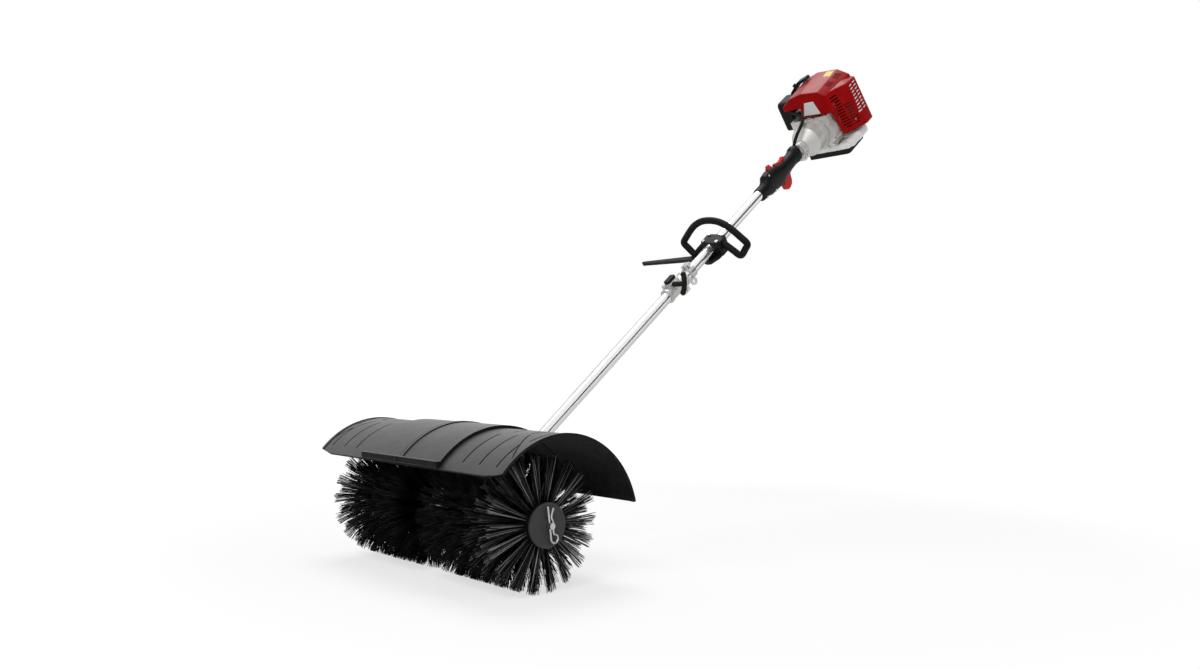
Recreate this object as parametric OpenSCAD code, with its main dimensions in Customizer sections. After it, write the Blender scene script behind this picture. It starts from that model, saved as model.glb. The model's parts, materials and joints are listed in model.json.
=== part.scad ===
// Power brush sweeper: two nylon brush drums under an arched fender, driven through a worm gear
// by a small two-stroke engine at the upper end of a split pole.
// Modelled in its working pose, brush on the floor; X across, -Y forward, Z up; millimetres.

/* [Brush] */
// Diameter over the bristle tips
brush_d = 256; // [248:2:270]
// Width over both brush drums
brush_w = 580; // [540:10:620]
// Free gap between the drums, where the gear case sits
drum_gap = 84; // [84:1:96]
// Outer diameter of a drum core
core_d = 76; // [72:1:80]
// Diameter of a hub plate
hub_d = 84; // [84:1:92]
// Thickness of a hub plate
hub_t = 5; // [4:0.5:7]
// Rings of tufts on each drum
rings = 11; // [9:1:12]
// Tufts in one ring
tufts = 18; // [16:1:20]

/* [Gear case] */
// Diameter of the cross axle
axle_d = 12; // [10:0.5:13]
// Teeth on the worm wheel
wheel_teeth = 26; // [25:1:28]
// Gear module
gear_m = 2; // [1.9:0.05:2.1]
// Pitch radius of the worm
worm_r = 11; // [10.5:0.25:11.5]
// Length of the worm thread
worm_l = 36; // [32:1:38]
// Length of the neck that holds the tube
neck_l = 112; // [104:1:130]

/* [Fender] */
// Outer radius of the fender wings
fender_r = 185; // [182:1:195]
// Width of both fender halves together
fender_w = 660; // [640:5:700]
// Thickness of the fender shell
fender_t = 3; // [2.5:0.25:4]
// Width of the raised centre panels together
raise_w = 278; // [240:2:300]
// Height of the raised centre panels above the wings
raise_h = 6; // [4:1:12]

/* [Pole] */
// Rise of the pole above level, in degrees
pole_angle = 39.7; // [37:0.1:43]
// Outer diameter of the pole tubes
tube_d = 28; // [26:0.5:29]
// Wall of the pole tubes
tube_t = 1.5; // [1.2:0.1:2]
// Diameter of the drive shaft
shaft_d = 8; // [7:0.5:9]
// Distance of the coupler from the worm, along the pole
coupler_y = 804; // [760:2:830]
// Distance of the harness hanger from the worm
harness_y = 874; // [868:1:900]
// Distance of the loop handle from the worm
handle_y = 1000; // [980:1:1030]
// Distance of the throttle grip's lower end from the worm
grip_y = 1233; // [1200:1:1260]
// Length of the throttle grip
grip_l = 218; // [216:1:230]

/* [Handles] */
// Half width of the loop handle at its bar centre
loop_hw = 102; // [96:1:116]
// Height of the loop handle's crest over the pole centre
loop_h = 66; // [58:1:80]
// Diameter of the loop handle bar
loop_d = 18; // [17:0.5:20]
// Lean of the loop handle towards the engine, in degrees
loop_tilt = 10; // [6:1:20]
// Turn of the loop handle round the pole, in degrees
loop_roll = 7; // [0:1:8]
// Reach of the barrier bar from the pole centre
barrier_l = 264; // [220:2:280]
// Radius of the hole in the harness eye
eye_r = 6; // [5:0.25:7]

/* [Engine] */
// Radius of the fan case
fan_r = 66; // [64:1:70]
// Radius of the cylinder bore
bore_r = 20; // [19:0.5:21]
// Height of the shroud's top over the crank centre
shroud_z = 126; // [124:1:134]
// Depth of the skid's lower face under the crank centre
skid_z = 88; // [86:1:96]

/* [Hidden] */
$fn = 48;

// Gaps: a seat that stays put, a running fit, two loose faces
fit = 0.05;
run = 0.06;
gap = 0.4;
far = 400;

black = [0.05, 0.05, 0.055];
steel = [0.72, 0.73, 0.75];
cast = [0.66, 0.66, 0.66];
grey = [0.55, 0.56, 0.57];
red = [0.72, 0.07, 0.05];
milk = [0.9, 0.9, 0.86];

brush_r = brush_d / 2;
core_r = core_d / 2;
axle_r = axle_d / 2;
tube_r = tube_d / 2;
shaft_r = shaft_d / 2;
loop_r = loop_d / 2;

// Worm gear: wheel pitch radius, worm lead, tooth half height, room between the teeth
wheel_r = wheel_teeth * gear_m / 2;
lead = PI * gear_m;
tooth_a = 0.9 * gear_m;
mesh_gap = 0.55 * gear_m;
gear_cd = wheel_r + worm_r;
wheel_hw = 4;

// Gear case: inner room, bearings, seals and walls, from the middle outwards
cav_r = wheel_r + tooth_a + 2;
cav_hw = wheel_hw + 5;
bear_w = 8;
bear_r = axle_r + 8;
seal_x = cav_hw + bear_w + 1;
seal_w = 5;
case_hw = seal_x + seal_w + 3;
case_r = cav_r + 5;
neck_r = tube_r + 6;
neck_y0 = -worm_l / 2 - 18;
worm_shaft_r = 5;
worm_bear_y = worm_l / 2 + 1.5;
pad_z = case_r + 7;
case_lug_r = 6.5;
case_lug_at = case_r + 5;
case_lugs = [133, 163, 198, 236];
neck_lug_y = neck_l - 22;
case_screw_r = 2.5;
pad_bolt_x = 14;
pad_bolt_r = 3;

// Drums: the core runs from the gear case's side to the hub plate
drum_x0 = drum_gap / 2;
drum_x1 = brush_w / 2 - 2;
core_wall = 4;
sleeve_half = 7;
sleeve_in = (core_r + 0.15) / cos(sleeve_half);
sleeve_out = sleeve_in + 3;
hub_x1 = drum_x1 + hub_t;
pin_x = drum_x0 + 5;
pin_r = 2.5;
pin_hl = 15;
clip_x = hub_x1 + 5;
clip_r = 2;
axle_hl = hub_x1 + 14;

// Fender arc: centre behind and below the axle, angles from the rear edge up and over
fender_cy = 8;
fender_cz = -16;
fender_a0 = 15;
fender_a1 = 142;
panel_r = fender_r + raise_h;
wing_x0 = raise_w / 2;
wing_x1 = fender_w / 2;
groove_t = 0.6 * fender_t;
groove_w = 3.6;
crease_a = 99;
crease_span = 31;
crease_x = wing_x1 - 56;
crease_lean = atan((wing_x1 - crease_x) / (fender_r * crease_span * PI / 180));
seam = 0.3;
plate_z = fender_cz + panel_r - fender_t - 15;
plate_t = 4;
strut_x = 30;
strut_t = 4;
strut_y = 18;
boss_xy = [[strut_x - 9, fender_cy - 26], [strut_x - 9, fender_cy + 26]];

// Pole stations
lower_y0 = worm_bear_y + bear_w + 22;
joint_y = coupler_y + 14;
engine_y = grip_y + grip_l;
tube_end = engine_y + 32;

// Coupler: the knob's screw crosses the upper ears, a tie bolt the lower ones
lock_y = 6;
lock_r = 4;
ear_z = tube_r + 11;
knob_x = 15;
knob_y = -9;
knob_z = tube_r + 5.5;
knob_screw_r = 3;
tie_y = 28;
tie_z = -tube_r - 10;
bolt_r = 2.5;
hang_bolt_z = tube_r + 6.5;
hang_eye_z = -tube_r - eye_r - 7;

// Loop handle clamp: half sizes, start of the bar sockets, bolt places
clamp_hx = 29;
clamp_hy = 20;
clamp_hz = 17;
socket_x = tube_r + 4.5;
clamp_bolts = [for (x = [-21, 21], y = [-14.5, 14.5]) [x, y]];
bar_t = 9;

// Throttle grip outline: station, top, bottom, half width
grip_form = [
  [0, 15.5, -19, 16.5], [3, 16, -21, 17], [30, 16, -23, 17], [40, 21, -27, 17.5], [47, 31, -29, 18],
  [66, 34, -30, 18], [90, 32, -32, 18], [104, 28, -33, 18], [116, 24, -30, 17.5],
  [134, 21.5, -25, 17], [160, 20, -21.5, 17], [184, 20.5, -20, 17], [196, 23, -20.5, 18],
  [204, 27, -22, 19.5], [grip_l - 3, 27, -22, 19.5], [grip_l - gap, 26, -21, 18.5]
];
grip_screw_at = [[16, -18.6], [60, -24], [58, 24], [grip_l - 9, -18.4]];
grip_screw_r = 1.8;
grip_pin_hl = 10;
trigger_hw = 6;
trigger_at = [152, -20];
trigger_pin_r = 2;
lockout_hw = 5;
lockout_at = [112, 21.5];
lockout_pin_r = 1.6;
cable_z = 20;
cable_r = 5;

// Engine stations behind the grip, along the crank: clutch, fan case, crankcase, starter
drum_hub_y = 44;
drum_y = 67;
drum_y1 = 96;
drum_r = 38;
fan_y0 = 110;
fan_y1 = 160;
fan_top = 46;
fan_low = -54;
fan_lugs = [-25, 205, 222, 318];
wheel_fan_r = fan_r - 20;
crank_r = 7.5;
cyl_y = 186;
case_y1 = 212;
starter_y1 = 246;
pull_x = 24;
pull_y = 240;
pinch_z = -tube_r - 11;

// Cylinder, carburettor, tank and skid
stroke = 30;
base_z = 40;
port_z = 60;
port_x = 46;
piston_top = 96;
bore_top = 102;
plug_r = 6;
carb_x0 = -74;
carb_y0 = 170;
choke_at = [-62, port_z - 12];
tank_top = -46;
tank_low = 14 - skid_z;
cap_y = 194;
cap_z = (tank_top + tank_low) / 2;
neck_out = 14;
skid_y = 170;
skid_l = 96;

// Shroud: corners of a dome over the cylinder and of a box round the muffler
dome = [
  [-64, 122, 58], [-66, 122, 92], [-38, 122, shroud_z - 16], [2, 122, shroud_z - 8],
  [56, 122, shroud_z - 14], [74, 122, 98], [76, 122, 52],
  [-64, 226, 58], [-66, 226, 96], [-36, 226, shroud_z - 10], [8, 226, shroud_z + 2],
  [70, 226, shroud_z - 2], [98, 226, 104], [104, 226, 52]
];
box = [
  [62, 146, -34], [116, 196, -34], [116, 226, -34], [62, 226, -34],
  [62, 124, 98], [114, 172, 98], [110, 226, 92], [62, 226, 104]
];

// The whole is centred on its floor area: from the fender's front edge to the skid's rear one
front_y = fender_cy + panel_r * cos(fender_a1);
rear_y = gear_cd * sin(pole_angle) + (engine_y + skid_y + skid_l / 2) * cos(pole_angle)
  + skid_z * sin(pole_angle);
head_y = -(front_y + rear_y) / 2;

// Places the axle's frame: origin at the axle's middle
module head() {
  translate([0, head_y, brush_r]) children();
}

// Places the pole's frame: Y up along the pole, Z square to it, origin beside the worm wheel
module pole() {
  head() rotate([pole_angle, 0, 0]) translate([0, 0, -gear_cd]) children();
}

module engine() {
  pole() translate([0, engine_y, 0]) children();
}

module along_x(r, x0, x1) {
  translate([x0, 0, 0]) rotate([0, 90, 0]) cylinder(r = r, h = x1 - x0);
}

module along_y(r, y0, y1) {
  translate([0, y0, 0]) rotate([-90, 0, 0]) cylinder(r = r, h = y1 - y0);
}

module along_z(r, z0, z1) {
  translate([0, 0, z0]) cylinder(r = r, h = z1 - z0);
}

module block(x0, x1, y0, y1, z0, z1) {
  translate([x0, y0, z0]) cube([x1 - x0, y1 - y0, z1 - z0]);
}

// Rectangle with true round corners
module rrect(w, h, r) {
  square([w - 2 * r, h], center = true);
  square([w, h - 2 * r], center = true);
  for (x = [-1, 1], y = [-1, 1]) {
    translate([x * (w / 2 - r), y * (h / 2 - r)]) circle(r = r);
  }
}

// Extrudes a YZ outline across X
module across_x(x0, x1) {
  translate([x0, 0, 0]) rotate([90, 0, 90]) linear_extrude(x1 - x0) children();
}

// Extrudes an XZ outline along Y
module along_outline(y0, y1) {
  translate([0, y1, 0]) rotate([90, 0, 0]) linear_extrude(y1 - y0) children();
}

// Socket screw along +X with its head at x1
module screw_x(r, x0, x1) {
  along_x(r, x0, x1);
  along_x(1.75 * r, x1, x1 + 1.4 * r);
}

// Socket screw along Z with its head at the z1 end, which may be the lower one
module screw_z(r, z0, z1) {
  low = min(z0, z1);
  high = max(z0, z1);
  along_z(r, low, high);
  head_h = 1.4 * r;
  translate([0, 0, z1 > z0 ? z1 : z1 - head_h]) cylinder(r = 1.75 * r, h = head_h);
}

// Skin over a list of rings, each a list of as many points, with closed ends
module loft(rs) {
  n = len(rs[0]);
  m = len(rs);
  sides = [
    for (j = [0:m - 2], i = [0:n - 1], k = [0, 1])
      let (a = j * n + i, b = j * n + (i + 1) % n, c = b + n, d = a + n)
        k == 0 ? [a, b, c] : [a, c, d]
  ];
  caps = [[for (i = [n - 1:-1:0]) i], [for (i = [0:n - 1]) (m - 1) * n + i]];
  polyhedron(points = [for (r = rs) each r], faces = concat(sides, caps));
}

// Rounded ring square to Y: station, top, bottom, half width
function oval(y, top, low, hw, n = 24, e = 2.5) = [
  for (i = [0:n - 1])
    let (c = cos(360 * i / n), s = sin(360 * i / n))
      [hw * sign(c) * pow(abs(c), 2 / e), y,
       (top + low) / 2 + (top - low) / 2 * sign(s) * pow(abs(s), 2 / e)]
];

function unit(v) = v / norm(v);

// Round ring square to a path at point i
function path_ring(path, i, r, n, up) =
  let (
    last = len(path) - 1,
    t = unit(path[min(i + 1, last)] - path[max(i - 1, 0)]),
    u = unit(cross(up, t)),
    v = cross(t, u)
  )
  [for (k = [n - 1:-1:0]) path[i] + r * (cos(360 * k / n) * u + sin(360 * k / n) * v)];

// Round bar along a path of points
module bar(path, r, n, up) {
  loft([for (i = [0:len(path) - 1]) path_ring(path, i, r, n, up)]);
}

// Smooth curve through points, with steps pieces between each pair
function curve(p, steps) = [
  for (i = [0:len(p) - 2], k = [0:steps - 1])
    let (
      a = p[max(i - 1, 0)], b = p[i], c = p[i + 1], d = p[min(i + 2, len(p) - 1)],
      t = k / steps
    )
    0.5 * (2 * b + (c - a) * t + (2 * a - 5 * b + 4 * c - d) * t * t
      + (3 * b - a - 3 * c + d) * t * t * t),
  p[len(p) - 1]
];

// One drum's fan-shaped tufts on a sleeve, as a single closed skin from x0 to x1
module tuft_drum(x0, x1) {
  n = 2 * tufts;
  pitch = (x1 - x0) / rings;
  tuft_a = 2 * sleeve_half;
  gap_a = 360 / tufts - tuft_a;
  tip_a = 0.43 * 360 / tufts;
  function ang(i) = floor(i / 2) * 360 / tufts + (i % 2) * tuft_a - sleeve_half;
  xs = [
    x0, for (k = [0:rings - 1], f = [0.27, 0.73]) x0 + (k + f) * pitch, x1
  ];
  rows = len(xs) - 1;
  function at(x, r, a) = [x, r * cos(a), r * sin(a)];
  outer = [for (j = [0:rows], i = [0:n - 1]) at(xs[j], sleeve_out, ang(i))];
  inner = [for (j = [0, rows], i = [0:n - 1]) at(xs[j], sleeve_in, ang(i))];
  tips = [
    for (k = [0:rings - 1], c = [0:tufts - 1], e = [[0.08, -1], [0.08, 1], [0.92, 1], [0.92, -1]])
      at(x0 + (k + e[0]) * pitch, brush_r, c * 360 / tufts + e[1] * tip_a)
  ];
  in0 = len(outer);
  tip0 = in0 + len(inner);
  function o(j, i) = j * n + i % n;
  skin = [
    for (j = [0:rows - 1], i = [0:n - 1])
      if (!(j % 2 == 1 && i % 2 == 0)) [o(j, i), o(j, i + 1), o(j + 1, i + 1), o(j + 1, i)]
  ];
  strands = [
    for (k = [0:rings - 1], c = [0:tufts - 1])
      let (
        j = 2 * k + 1, i = 2 * c, t = tip0 + 4 * (k * tufts + c),
        f = [o(j, i), o(j, i + 1), o(j + 1, i + 1), o(j + 1, i)]
      )
      each concat(
        [for (e = [0:3]) [f[e], f[(e + 1) % 4], t + (e + 1) % 4, t + e]],
        [[t, t + 1, t + 2, t + 3]]
      )
  ];
  bore = [for (i = [0:n - 1]) [in0 + (i + 1) % n, in0 + i, in0 + n + i, in0 + n + (i + 1) % n]];
  end0 = [for (i = [0:n - 1]) [o(0, i + 1), o(0, i), in0 + i, in0 + (i + 1) % n]];
  end1 = [
    for (i = [0:n - 1]) [o(rows, i), o(rows, i + 1), in0 + n + (i + 1) % n, in0 + n + i]
  ];
  quads = concat(skin, strands, bore, end0, end1);
  faces = [for (q = quads, k = [0, 1]) k == 0 ? [q[2], q[1], q[0]] : [q[3], q[2], q[0]]];
  polyhedron(points = concat(outer, inner, tips), faces = faces);
}

module bristles_left() {
  color(black) head() tuft_drum(drum_x0 + 2, drum_x1 - gap);
}

module bristles_right() {
  color(black) head() mirror([1, 0, 0]) tuft_drum(drum_x0 + 2, drum_x1 - gap);
}

// Drum core: outer wall, inner web with a slot for the drive pin, open at the hub plate
module drum_core() {
  difference() {
    along_x(core_r, drum_x0, drum_x1);
    along_x(core_r - core_wall, drum_x0 + 12, drum_x1 + 1);
    along_x(axle_r + fit, drum_x0 - 1, drum_x1);
    block(drum_x0 - 1, pin_x + pin_r + fit, -pin_r - fit, pin_r + fit, -pin_hl - 1, pin_hl + 1);
  }
}

module drum_core_left() {
  color(grey) head() drum_core();
}

module drum_core_right() {
  color(grey) head() mirror([1, 0, 0]) drum_core();
}

module hub_plates() {
  color(grey) head() for (s = [0, 1]) mirror([s, 0, 0]) difference() {
    union() {
      along_x(hub_d / 2, drum_x1, hub_x1);
      along_x(core_r - core_wall - fit, drum_x1 - 6, drum_x1 + 1);
      along_x(axle_r + 6, hub_x1 - 1, hub_x1 + 2);
    }
    along_x(axle_r + fit, drum_x1 - 7, hub_x1 + 3);
    translate([hub_x1 - 1.2, 0, 0]) rotate([0, 90, 0]) difference() {
      cylinder(r = hub_d / 2 - 5, h = 2);
      cylinder(r = axle_r + 9, h = 2);
    }
  }
}

// Spring clip: one leg through the axle, the other round it, with an eye below
module hairpins() {
  wrap = axle_r + clip_r + gap;
  eye = 8;
  low = -26;
  turn = [for (a = [0:30:270]) [0, eye - eye * cos(a), low - eye * sin(a)]];
  path = curve(concat(
    [[0, 0, 36], [0, 0, 16], [0, 0, 0], [0, 0, -14]], turn,
    [[0, wrap * 0.8, -13], [0, wrap * 0.92, -7], [0, wrap + 0.6, 0], [0, wrap * 0.92, 7],
     [0, wrap * 0.66, 14], [0, wrap * 0.95, 22], [0, wrap * 1.5, 30]]
  ), 2);
  color(steel) head() for (x = [-clip_x, clip_x]) {
    translate([x, 0, 0]) rotate([8, 0, 0]) bar(path, clip_r, 6, [1, 0, 0]);
  }
}

// Axle with the two cross pins that drive the drums, drilled for the clips
module brush_axle() {
  color(steel) head() difference() {
    union() {
      along_x(axle_r, -axle_hl, axle_hl);
      for (x = [-pin_x, pin_x]) translate([x, 0, 0]) along_z(pin_r, -pin_hl, pin_hl);
    }
    for (x = [-clip_x, clip_x]) {
      translate([x, 0, 0]) rotate([8, 0, 0]) along_z(clip_r + 0.3, -far, far);
    }
  }
}

module worm_wheel() {
  n = 8 * wheel_teeth;
  rim = wheel_r - mesh_gap;
  outline = [
    for (i = [0:n - 1])
      let (a = 360 * i / n)
        (rim - tooth_a * cos(wheel_teeth * (a + 90))) * [cos(a), sin(a)]
  ];
  color([0.7, 0.55, 0.25]) head() rotate([pole_angle, 0, 0]) difference() {
    union() {
      across_x(-wheel_hw, wheel_hw) polygon(outline);
      along_x(axle_r + 4, -cav_hw + gap, cav_hw - gap);
    }
    along_x(axle_r + fit, -cav_hw, cav_hw);
  }
}

module worm() {
  color(steel) pole() difference() {
    union() {
      along_y(worm_shaft_r, -worm_bear_y - bear_w, worm_bear_y + bear_w + 1);
      along_y(shaft_r + 3, worm_bear_y + bear_w + gap, worm_bear_y + bear_w + 20);
      translate([0, -worm_l / 2, 0]) rotate([-90, 0, 0]) rotate(-90 - 180 * worm_l / lead)
        linear_extrude(height = worm_l, twist = -360 * worm_l / lead, slices = ceil(6 * worm_l / lead))
          translate([tooth_a, 0]) circle(r = worm_r, $fn = 13);
    }
    along_y(shaft_r + fit, worm_bear_y + bear_w + 3, worm_bear_y + bear_w + 21);
  }
}

module ring_x(r0, r1, x0, x1) {
  difference() {
    along_x(r1, x0, x1);
    along_x(r0, x0 - 1, x1 + 1);
  }
}

module ring_y(r0, r1, y0, y1) {
  difference() {
    along_y(r1, y0, y1);
    along_y(r0, y0 - 1, y1 + 1);
  }
}

module gear_bearings() {
  color(steel) {
    head() for (s = [0, 1]) mirror([s, 0, 0]) ring_x(axle_r + run, bear_r, cav_hw, cav_hw + bear_w);
    pole() for (s = [0, 1]) mirror([0, s, 0]) {
      ring_y(worm_shaft_r + run, tube_r, worm_bear_y, worm_bear_y + bear_w);
    }
  }
}

module axle_seals() {
  color(black) head() for (s = [0, 1]) mirror([s, 0, 0]) {
    ring_x(axle_r + run, bear_r, seal_x, seal_x + seal_w);
  }
}

// Both halves of the gear case in one, with every bore
module gear_case() {
  difference() {
    union() {
      head() {
        along_x(case_r, -cav_hw - 5, cav_hw + 5);
        along_x(bear_r + 5, -case_hw, case_hw);
        block(-24, 24, -22, 22, case_r - 9, pad_z);
        for (a = case_lugs) rotate([a, 0, 0]) translate([0, case_lug_at, 0]) {
          along_x(case_lug_r, -11, 11);
          block(-6, 6, -12, 0, -5, 5);
        }
      }
      pole() {
        along_y(neck_r, neck_y0, neck_l);
        for (z = [-1, 1]) translate([0, neck_lug_y, z * (neck_r + 3)]) {
          along_x(case_lug_r, -10, 10);
          block(-6, 6, -9, 9, z > 0 ? -10 : 0, z > 0 ? 0 : 10);
        }
      }
    }
    head() {
      along_x(cav_r, -cav_hw, cav_hw);
      along_x(bear_r + fit, -seal_x - seal_w - gap, seal_x + seal_w + gap);
      along_x(axle_r + 1, -case_hw - 1, case_hw + 1);
      for (a = case_lugs) rotate([a, 0, 0]) translate([0, case_lug_at, 0]) {
        along_x(case_screw_r + fit, -far, far);
      }
      for (x = [-pad_bolt_x, pad_bolt_x]) translate([x, 0, 0]) {
        along_z(pad_bolt_r + fit, pad_z - 14, pad_z + 1);
      }
    }
    pole() {
      along_y(tube_r + fit, neck_y0 + 6, neck_l + 1);
      for (z = [-1, 1]) translate([0, neck_lug_y, z * (neck_r + 3)]) {
        along_x(case_screw_r + fit, -far, far);
      }
    }
  }
}

module gear_case_left() {
  color(cast) intersection() {
    gear_case();
    head() block(0, far, -far, far, -far, far);
  }
}

module gear_case_right() {
  color(cast) intersection() {
    gear_case();
    head() block(-far, 0, -far, far, -far, far);
  }
}

module gear_case_bolts() {
  color(steel) {
    head() for (a = case_lugs) rotate([a, 0, 0]) translate([0, case_lug_at, 0]) {
      screw_x(case_screw_r, -14, 11);
    }
    pole() for (z = [-1, 1]) translate([0, neck_lug_y, z * (neck_r + 3)]) {
      screw_x(case_screw_r, -13, 10);
    }
  }
}

// Frame at an angle on the fender: Y outward, Z along the arch
module fender_place(a) {
  translate([0, fender_cy, fender_cz]) rotate([a, 0, 0]) children();
}

// Moulded groove along the arch
module groove(x, a0, a1) {
  arc(fender_r - groove_t, fender_r + 1, x, x + groove_w, a0, a1);
}

// Slanted crease between the outer groove and the end rim
module crease(a, lean) {
  intersection() {
    arc(fender_r - groove_t, fender_r + 1.2, crease_x, wing_x1 - 9, a - 30, a + 30);
    fender_place(a) translate([(crease_x + wing_x1) / 2, 0, 0]) rotate([0, lean, 0]) {
      block(-1.5, 1.5, fender_r - 30, fender_r + 30, -70, 70);
    }
  }
}

// Arc of a shell round the fender's centre: radii, ends along X, angles
module arc(r0, r1, x0, x1, a0, a1) {
  translate([0, fender_cy, fender_cz]) rotate([0, 90, 0]) rotate([0, 0, 90 + a0])
    rotate_extrude(angle = a1 - a0, $fn = 120) translate([r0, x0]) square([r1 - r0, x1 - x0]);
}

module fender_half() {
  wing = wing_x1 - wing_x0;
  corner_x = 48;
  corner_t = 9;
  difference() {
    union() {
      arc(fender_r - fender_t, fender_r, wing_x0 - 1, wing_x1, fender_a0, fender_a1);
      arc(panel_r - fender_t, panel_r, seam, wing_x0 - 1, fender_a0, fender_a1);
      arc(fender_r - fender_t - 1, panel_r, wing_x0 - fender_t, wing_x0, fender_a0, fender_a1);
      arc(fender_r - 6, panel_r - 1, seam, wing_x0 - 2, fender_a1 - 1.3, fender_a1 - 0.4);
      arc(fender_r - 5, fender_r + 1.2, wing_x0 - 0.5, wing_x1, fender_a1 - 1.1, fender_a1 - 0.3);
      arc(fender_r - fender_t - 1, fender_r + 1.6, wing_x1 - 7, wing_x1 + 0.5, fender_a0, fender_a1);
      arc(panel_r - 12, panel_r - 1, seam, seam + fender_t, 60, fender_a1 - 0.5);
      arc(panel_r - 1.2, panel_r + 2, seam + 0.4, seam + 8, fender_a0 + 0.7, fender_a1 - 1.2);
      head_bosses();
    }
    for (k = [1:3]) {
      x = wing_x0 + wing * (0.02 + 0.27 * k);
      outer = k == 3;
      groove(x, outer ? 116 : 104, fender_a1 - 7);
      groove(x + (outer ? 12 : 20), outer ? 86 : 70, outer ? 111 : 99);
      groove(x, 30, 65);
    }
    for (s = [-1, 1]) crease(crease_a + s * (crease_span / 2 + 2.5), s * crease_lean);
    fender_place(fender_a1) translate([wing_x1 - corner_x, 0, 0]) rotate([0, atan(corner_t / corner_x), 0]) {
      block(-5, 2 * corner_x, fender_r - 20, panel_r + 20, 0, 60);
    }
    for (b = boss_xy) translate([b[0], b[1], 0]) along_z(bolt_r + fit, plate_z - 1, plate_z + 14);
    rotate([pole_angle, 0, 0]) translate([0, 0, -gear_cd]) {
      block(-neck_r - 5, neck_r + 5, 80, far, -far, neck_r + 6);
    }
  }
}

// Bosses under the centre panel that take the bracket's screws
module head_bosses() {
  intersection() {
    for (b = boss_xy) translate([b[0], b[1], 0]) along_z(7, plate_z, plate_z + far);
    arc(panel_r - 40, panel_r - 1, -far, far, 50, 130);
  }
}

module fender_left() {
  color(black) head() fender_half();
}

module fender_right() {
  color(black) head() mirror([1, 0, 0]) fender_half();
}

module fender_bracket() {
  color(steel) head() difference() {
    union() {
      block(-strut_x, strut_x, -22, 22, pad_z, pad_z + strut_t);
      for (s = [0, 1]) mirror([s, 0, 0]) {
        block(strut_x - strut_t, strut_x, -strut_y, strut_y, pad_z, plate_z);
      }
      block(-strut_x, strut_x, fender_cy - 36, fender_cy + 36, plate_z - plate_t, plate_z);
    }
    for (x = [-pad_bolt_x, pad_bolt_x]) translate([x, 0, 0]) {
      along_z(pad_bolt_r + fit, pad_z - 1, pad_z + strut_t + 1);
    }
    for (s = [-1, 1], b = boss_xy) translate([s * b[0], b[1], 0]) {
      along_z(bolt_r + fit, plate_z - plate_t - 1, plate_z + 1);
    }
  }
}

module fender_bolts() {
  color(steel) head() {
    for (x = [-pad_bolt_x, pad_bolt_x]) translate([x, 0, 0]) {
      screw_z(pad_bolt_r, pad_z - 12, pad_z + strut_t);
    }
    for (s = [-1, 1], b = boss_xy) translate([s * b[0], b[1], 0]) {
      screw_z(bolt_r, plate_z + 10, plate_z - plate_t);
    }
  }
}

module lower_tube() {
  color(steel) pole() difference() {
    ring_y(tube_r - tube_t, tube_r, lower_y0, joint_y);
    translate([0, coupler_y + lock_y, 0]) along_z(lock_r + 0.6, 0, far);
  }
}

module upper_tube() {
  color(steel) pole() ring_y(tube_r - tube_t, tube_r, joint_y + gap, tube_end);
}

module lower_drive_shaft() {
  color(steel) pole() along_y(shaft_r, worm_bear_y + bear_w + 4, coupler_y - 1);
}

// Upper shaft, with the socket that takes the lower shaft's end
module upper_drive_shaft() {
  color(steel) pole() {
    along_y(shaft_r, coupler_y + 1, engine_y + 58);
    difference() {
      along_y(shaft_r + 3, coupler_y - 26, coupler_y + 12);
      along_y(shaft_r + fit, coupler_y - 27, coupler_y);
    }
  }
}

module tube_bushes() {
  span = engine_y - joint_y;
  color(black) pole() {
    for (f = [0.12, 0.36, 0.6, 0.84]) {
      y = lower_y0 + f * (coupler_y - lower_y0);
      ring_y(shaft_r + run, tube_r - tube_t - fit, y, y + 18);
    }
    for (f = [0.08, 0.34, 0.6, 0.86]) {
      y = joint_y + f * span;
      ring_y(shaft_r + run, tube_r - tube_t - fit, y, y + 18);
    }
  }
}

// Coupler: split sleeve; the knob's screw crosses the upper ears, a bolt the lower ones
module coupler_body() {
  color(cast) pole() translate([0, coupler_y, 0]) difference() {
    union() {
      along_y(tube_r + 4, -34, 44);
      along_y(tube_r + 5.5, -34, -28);
      along_y(tube_r + 5.5, 38, 44);
      block(-knob_x, knob_x, -22, 15, 4, ear_z);
      block(-10, 10, tie_y - 10, tie_y + 10, tie_z - 6, -4);
    }
    along_y(tube_r + fit, -35, 45);
    block(-1, 1, -35, 17, 4, far);
    block(-1, 1, tie_y - 12, tie_y + 20, -far, -4);
    translate([0, knob_y, knob_z]) along_x(knob_screw_r + run, -far, far);
    translate([0, tie_y, tie_z]) along_x(bolt_r + fit, -far, far);
    translate([0, lock_y, 0]) along_z(lock_r + run, 5, far);
  }
}

// T-shaped knob with its screw; the bar is bowed away from the clamp
module coupler_knob() {
  bow = 62;
  half = 21;
  reach = knob_x + 36;
  color(black) pole() translate([0, coupler_y + knob_y, knob_z]) rotate([-pole_angle, 0, 0]) {
    along_x(knob_screw_r, -knob_x - 4, knob_x + 12);
    along_x(6.5, knob_x + gap, reach);
    translate([reach - bow, 0, 0]) rotate([90, 0, 0]) rotate([0, 0, -half])
      rotate_extrude(angle = 2 * half, $fn = 96) translate([bow, 0]) circle(r = 6.5, $fn = 24);
    for (a = [-half, half]) translate([reach - bow + bow * cos(a), 0, bow * sin(a)]) {
      sphere(r = 7.2, $fn = 24);
    }
  }
}

// Spring lock: a pin through the sleeve into the lower tube, under a flat cap
module coupler_lock() {
  color(black) pole() translate([0, coupler_y, 0]) {
    translate([0, lock_y, 0]) along_z(lock_r, tube_r - tube_t - 1, ear_z + 2);
    translate([0, lock_y - 6, ear_z + gap]) linear_extrude(7) rrect(16, 32, 3);
  }
}

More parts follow.
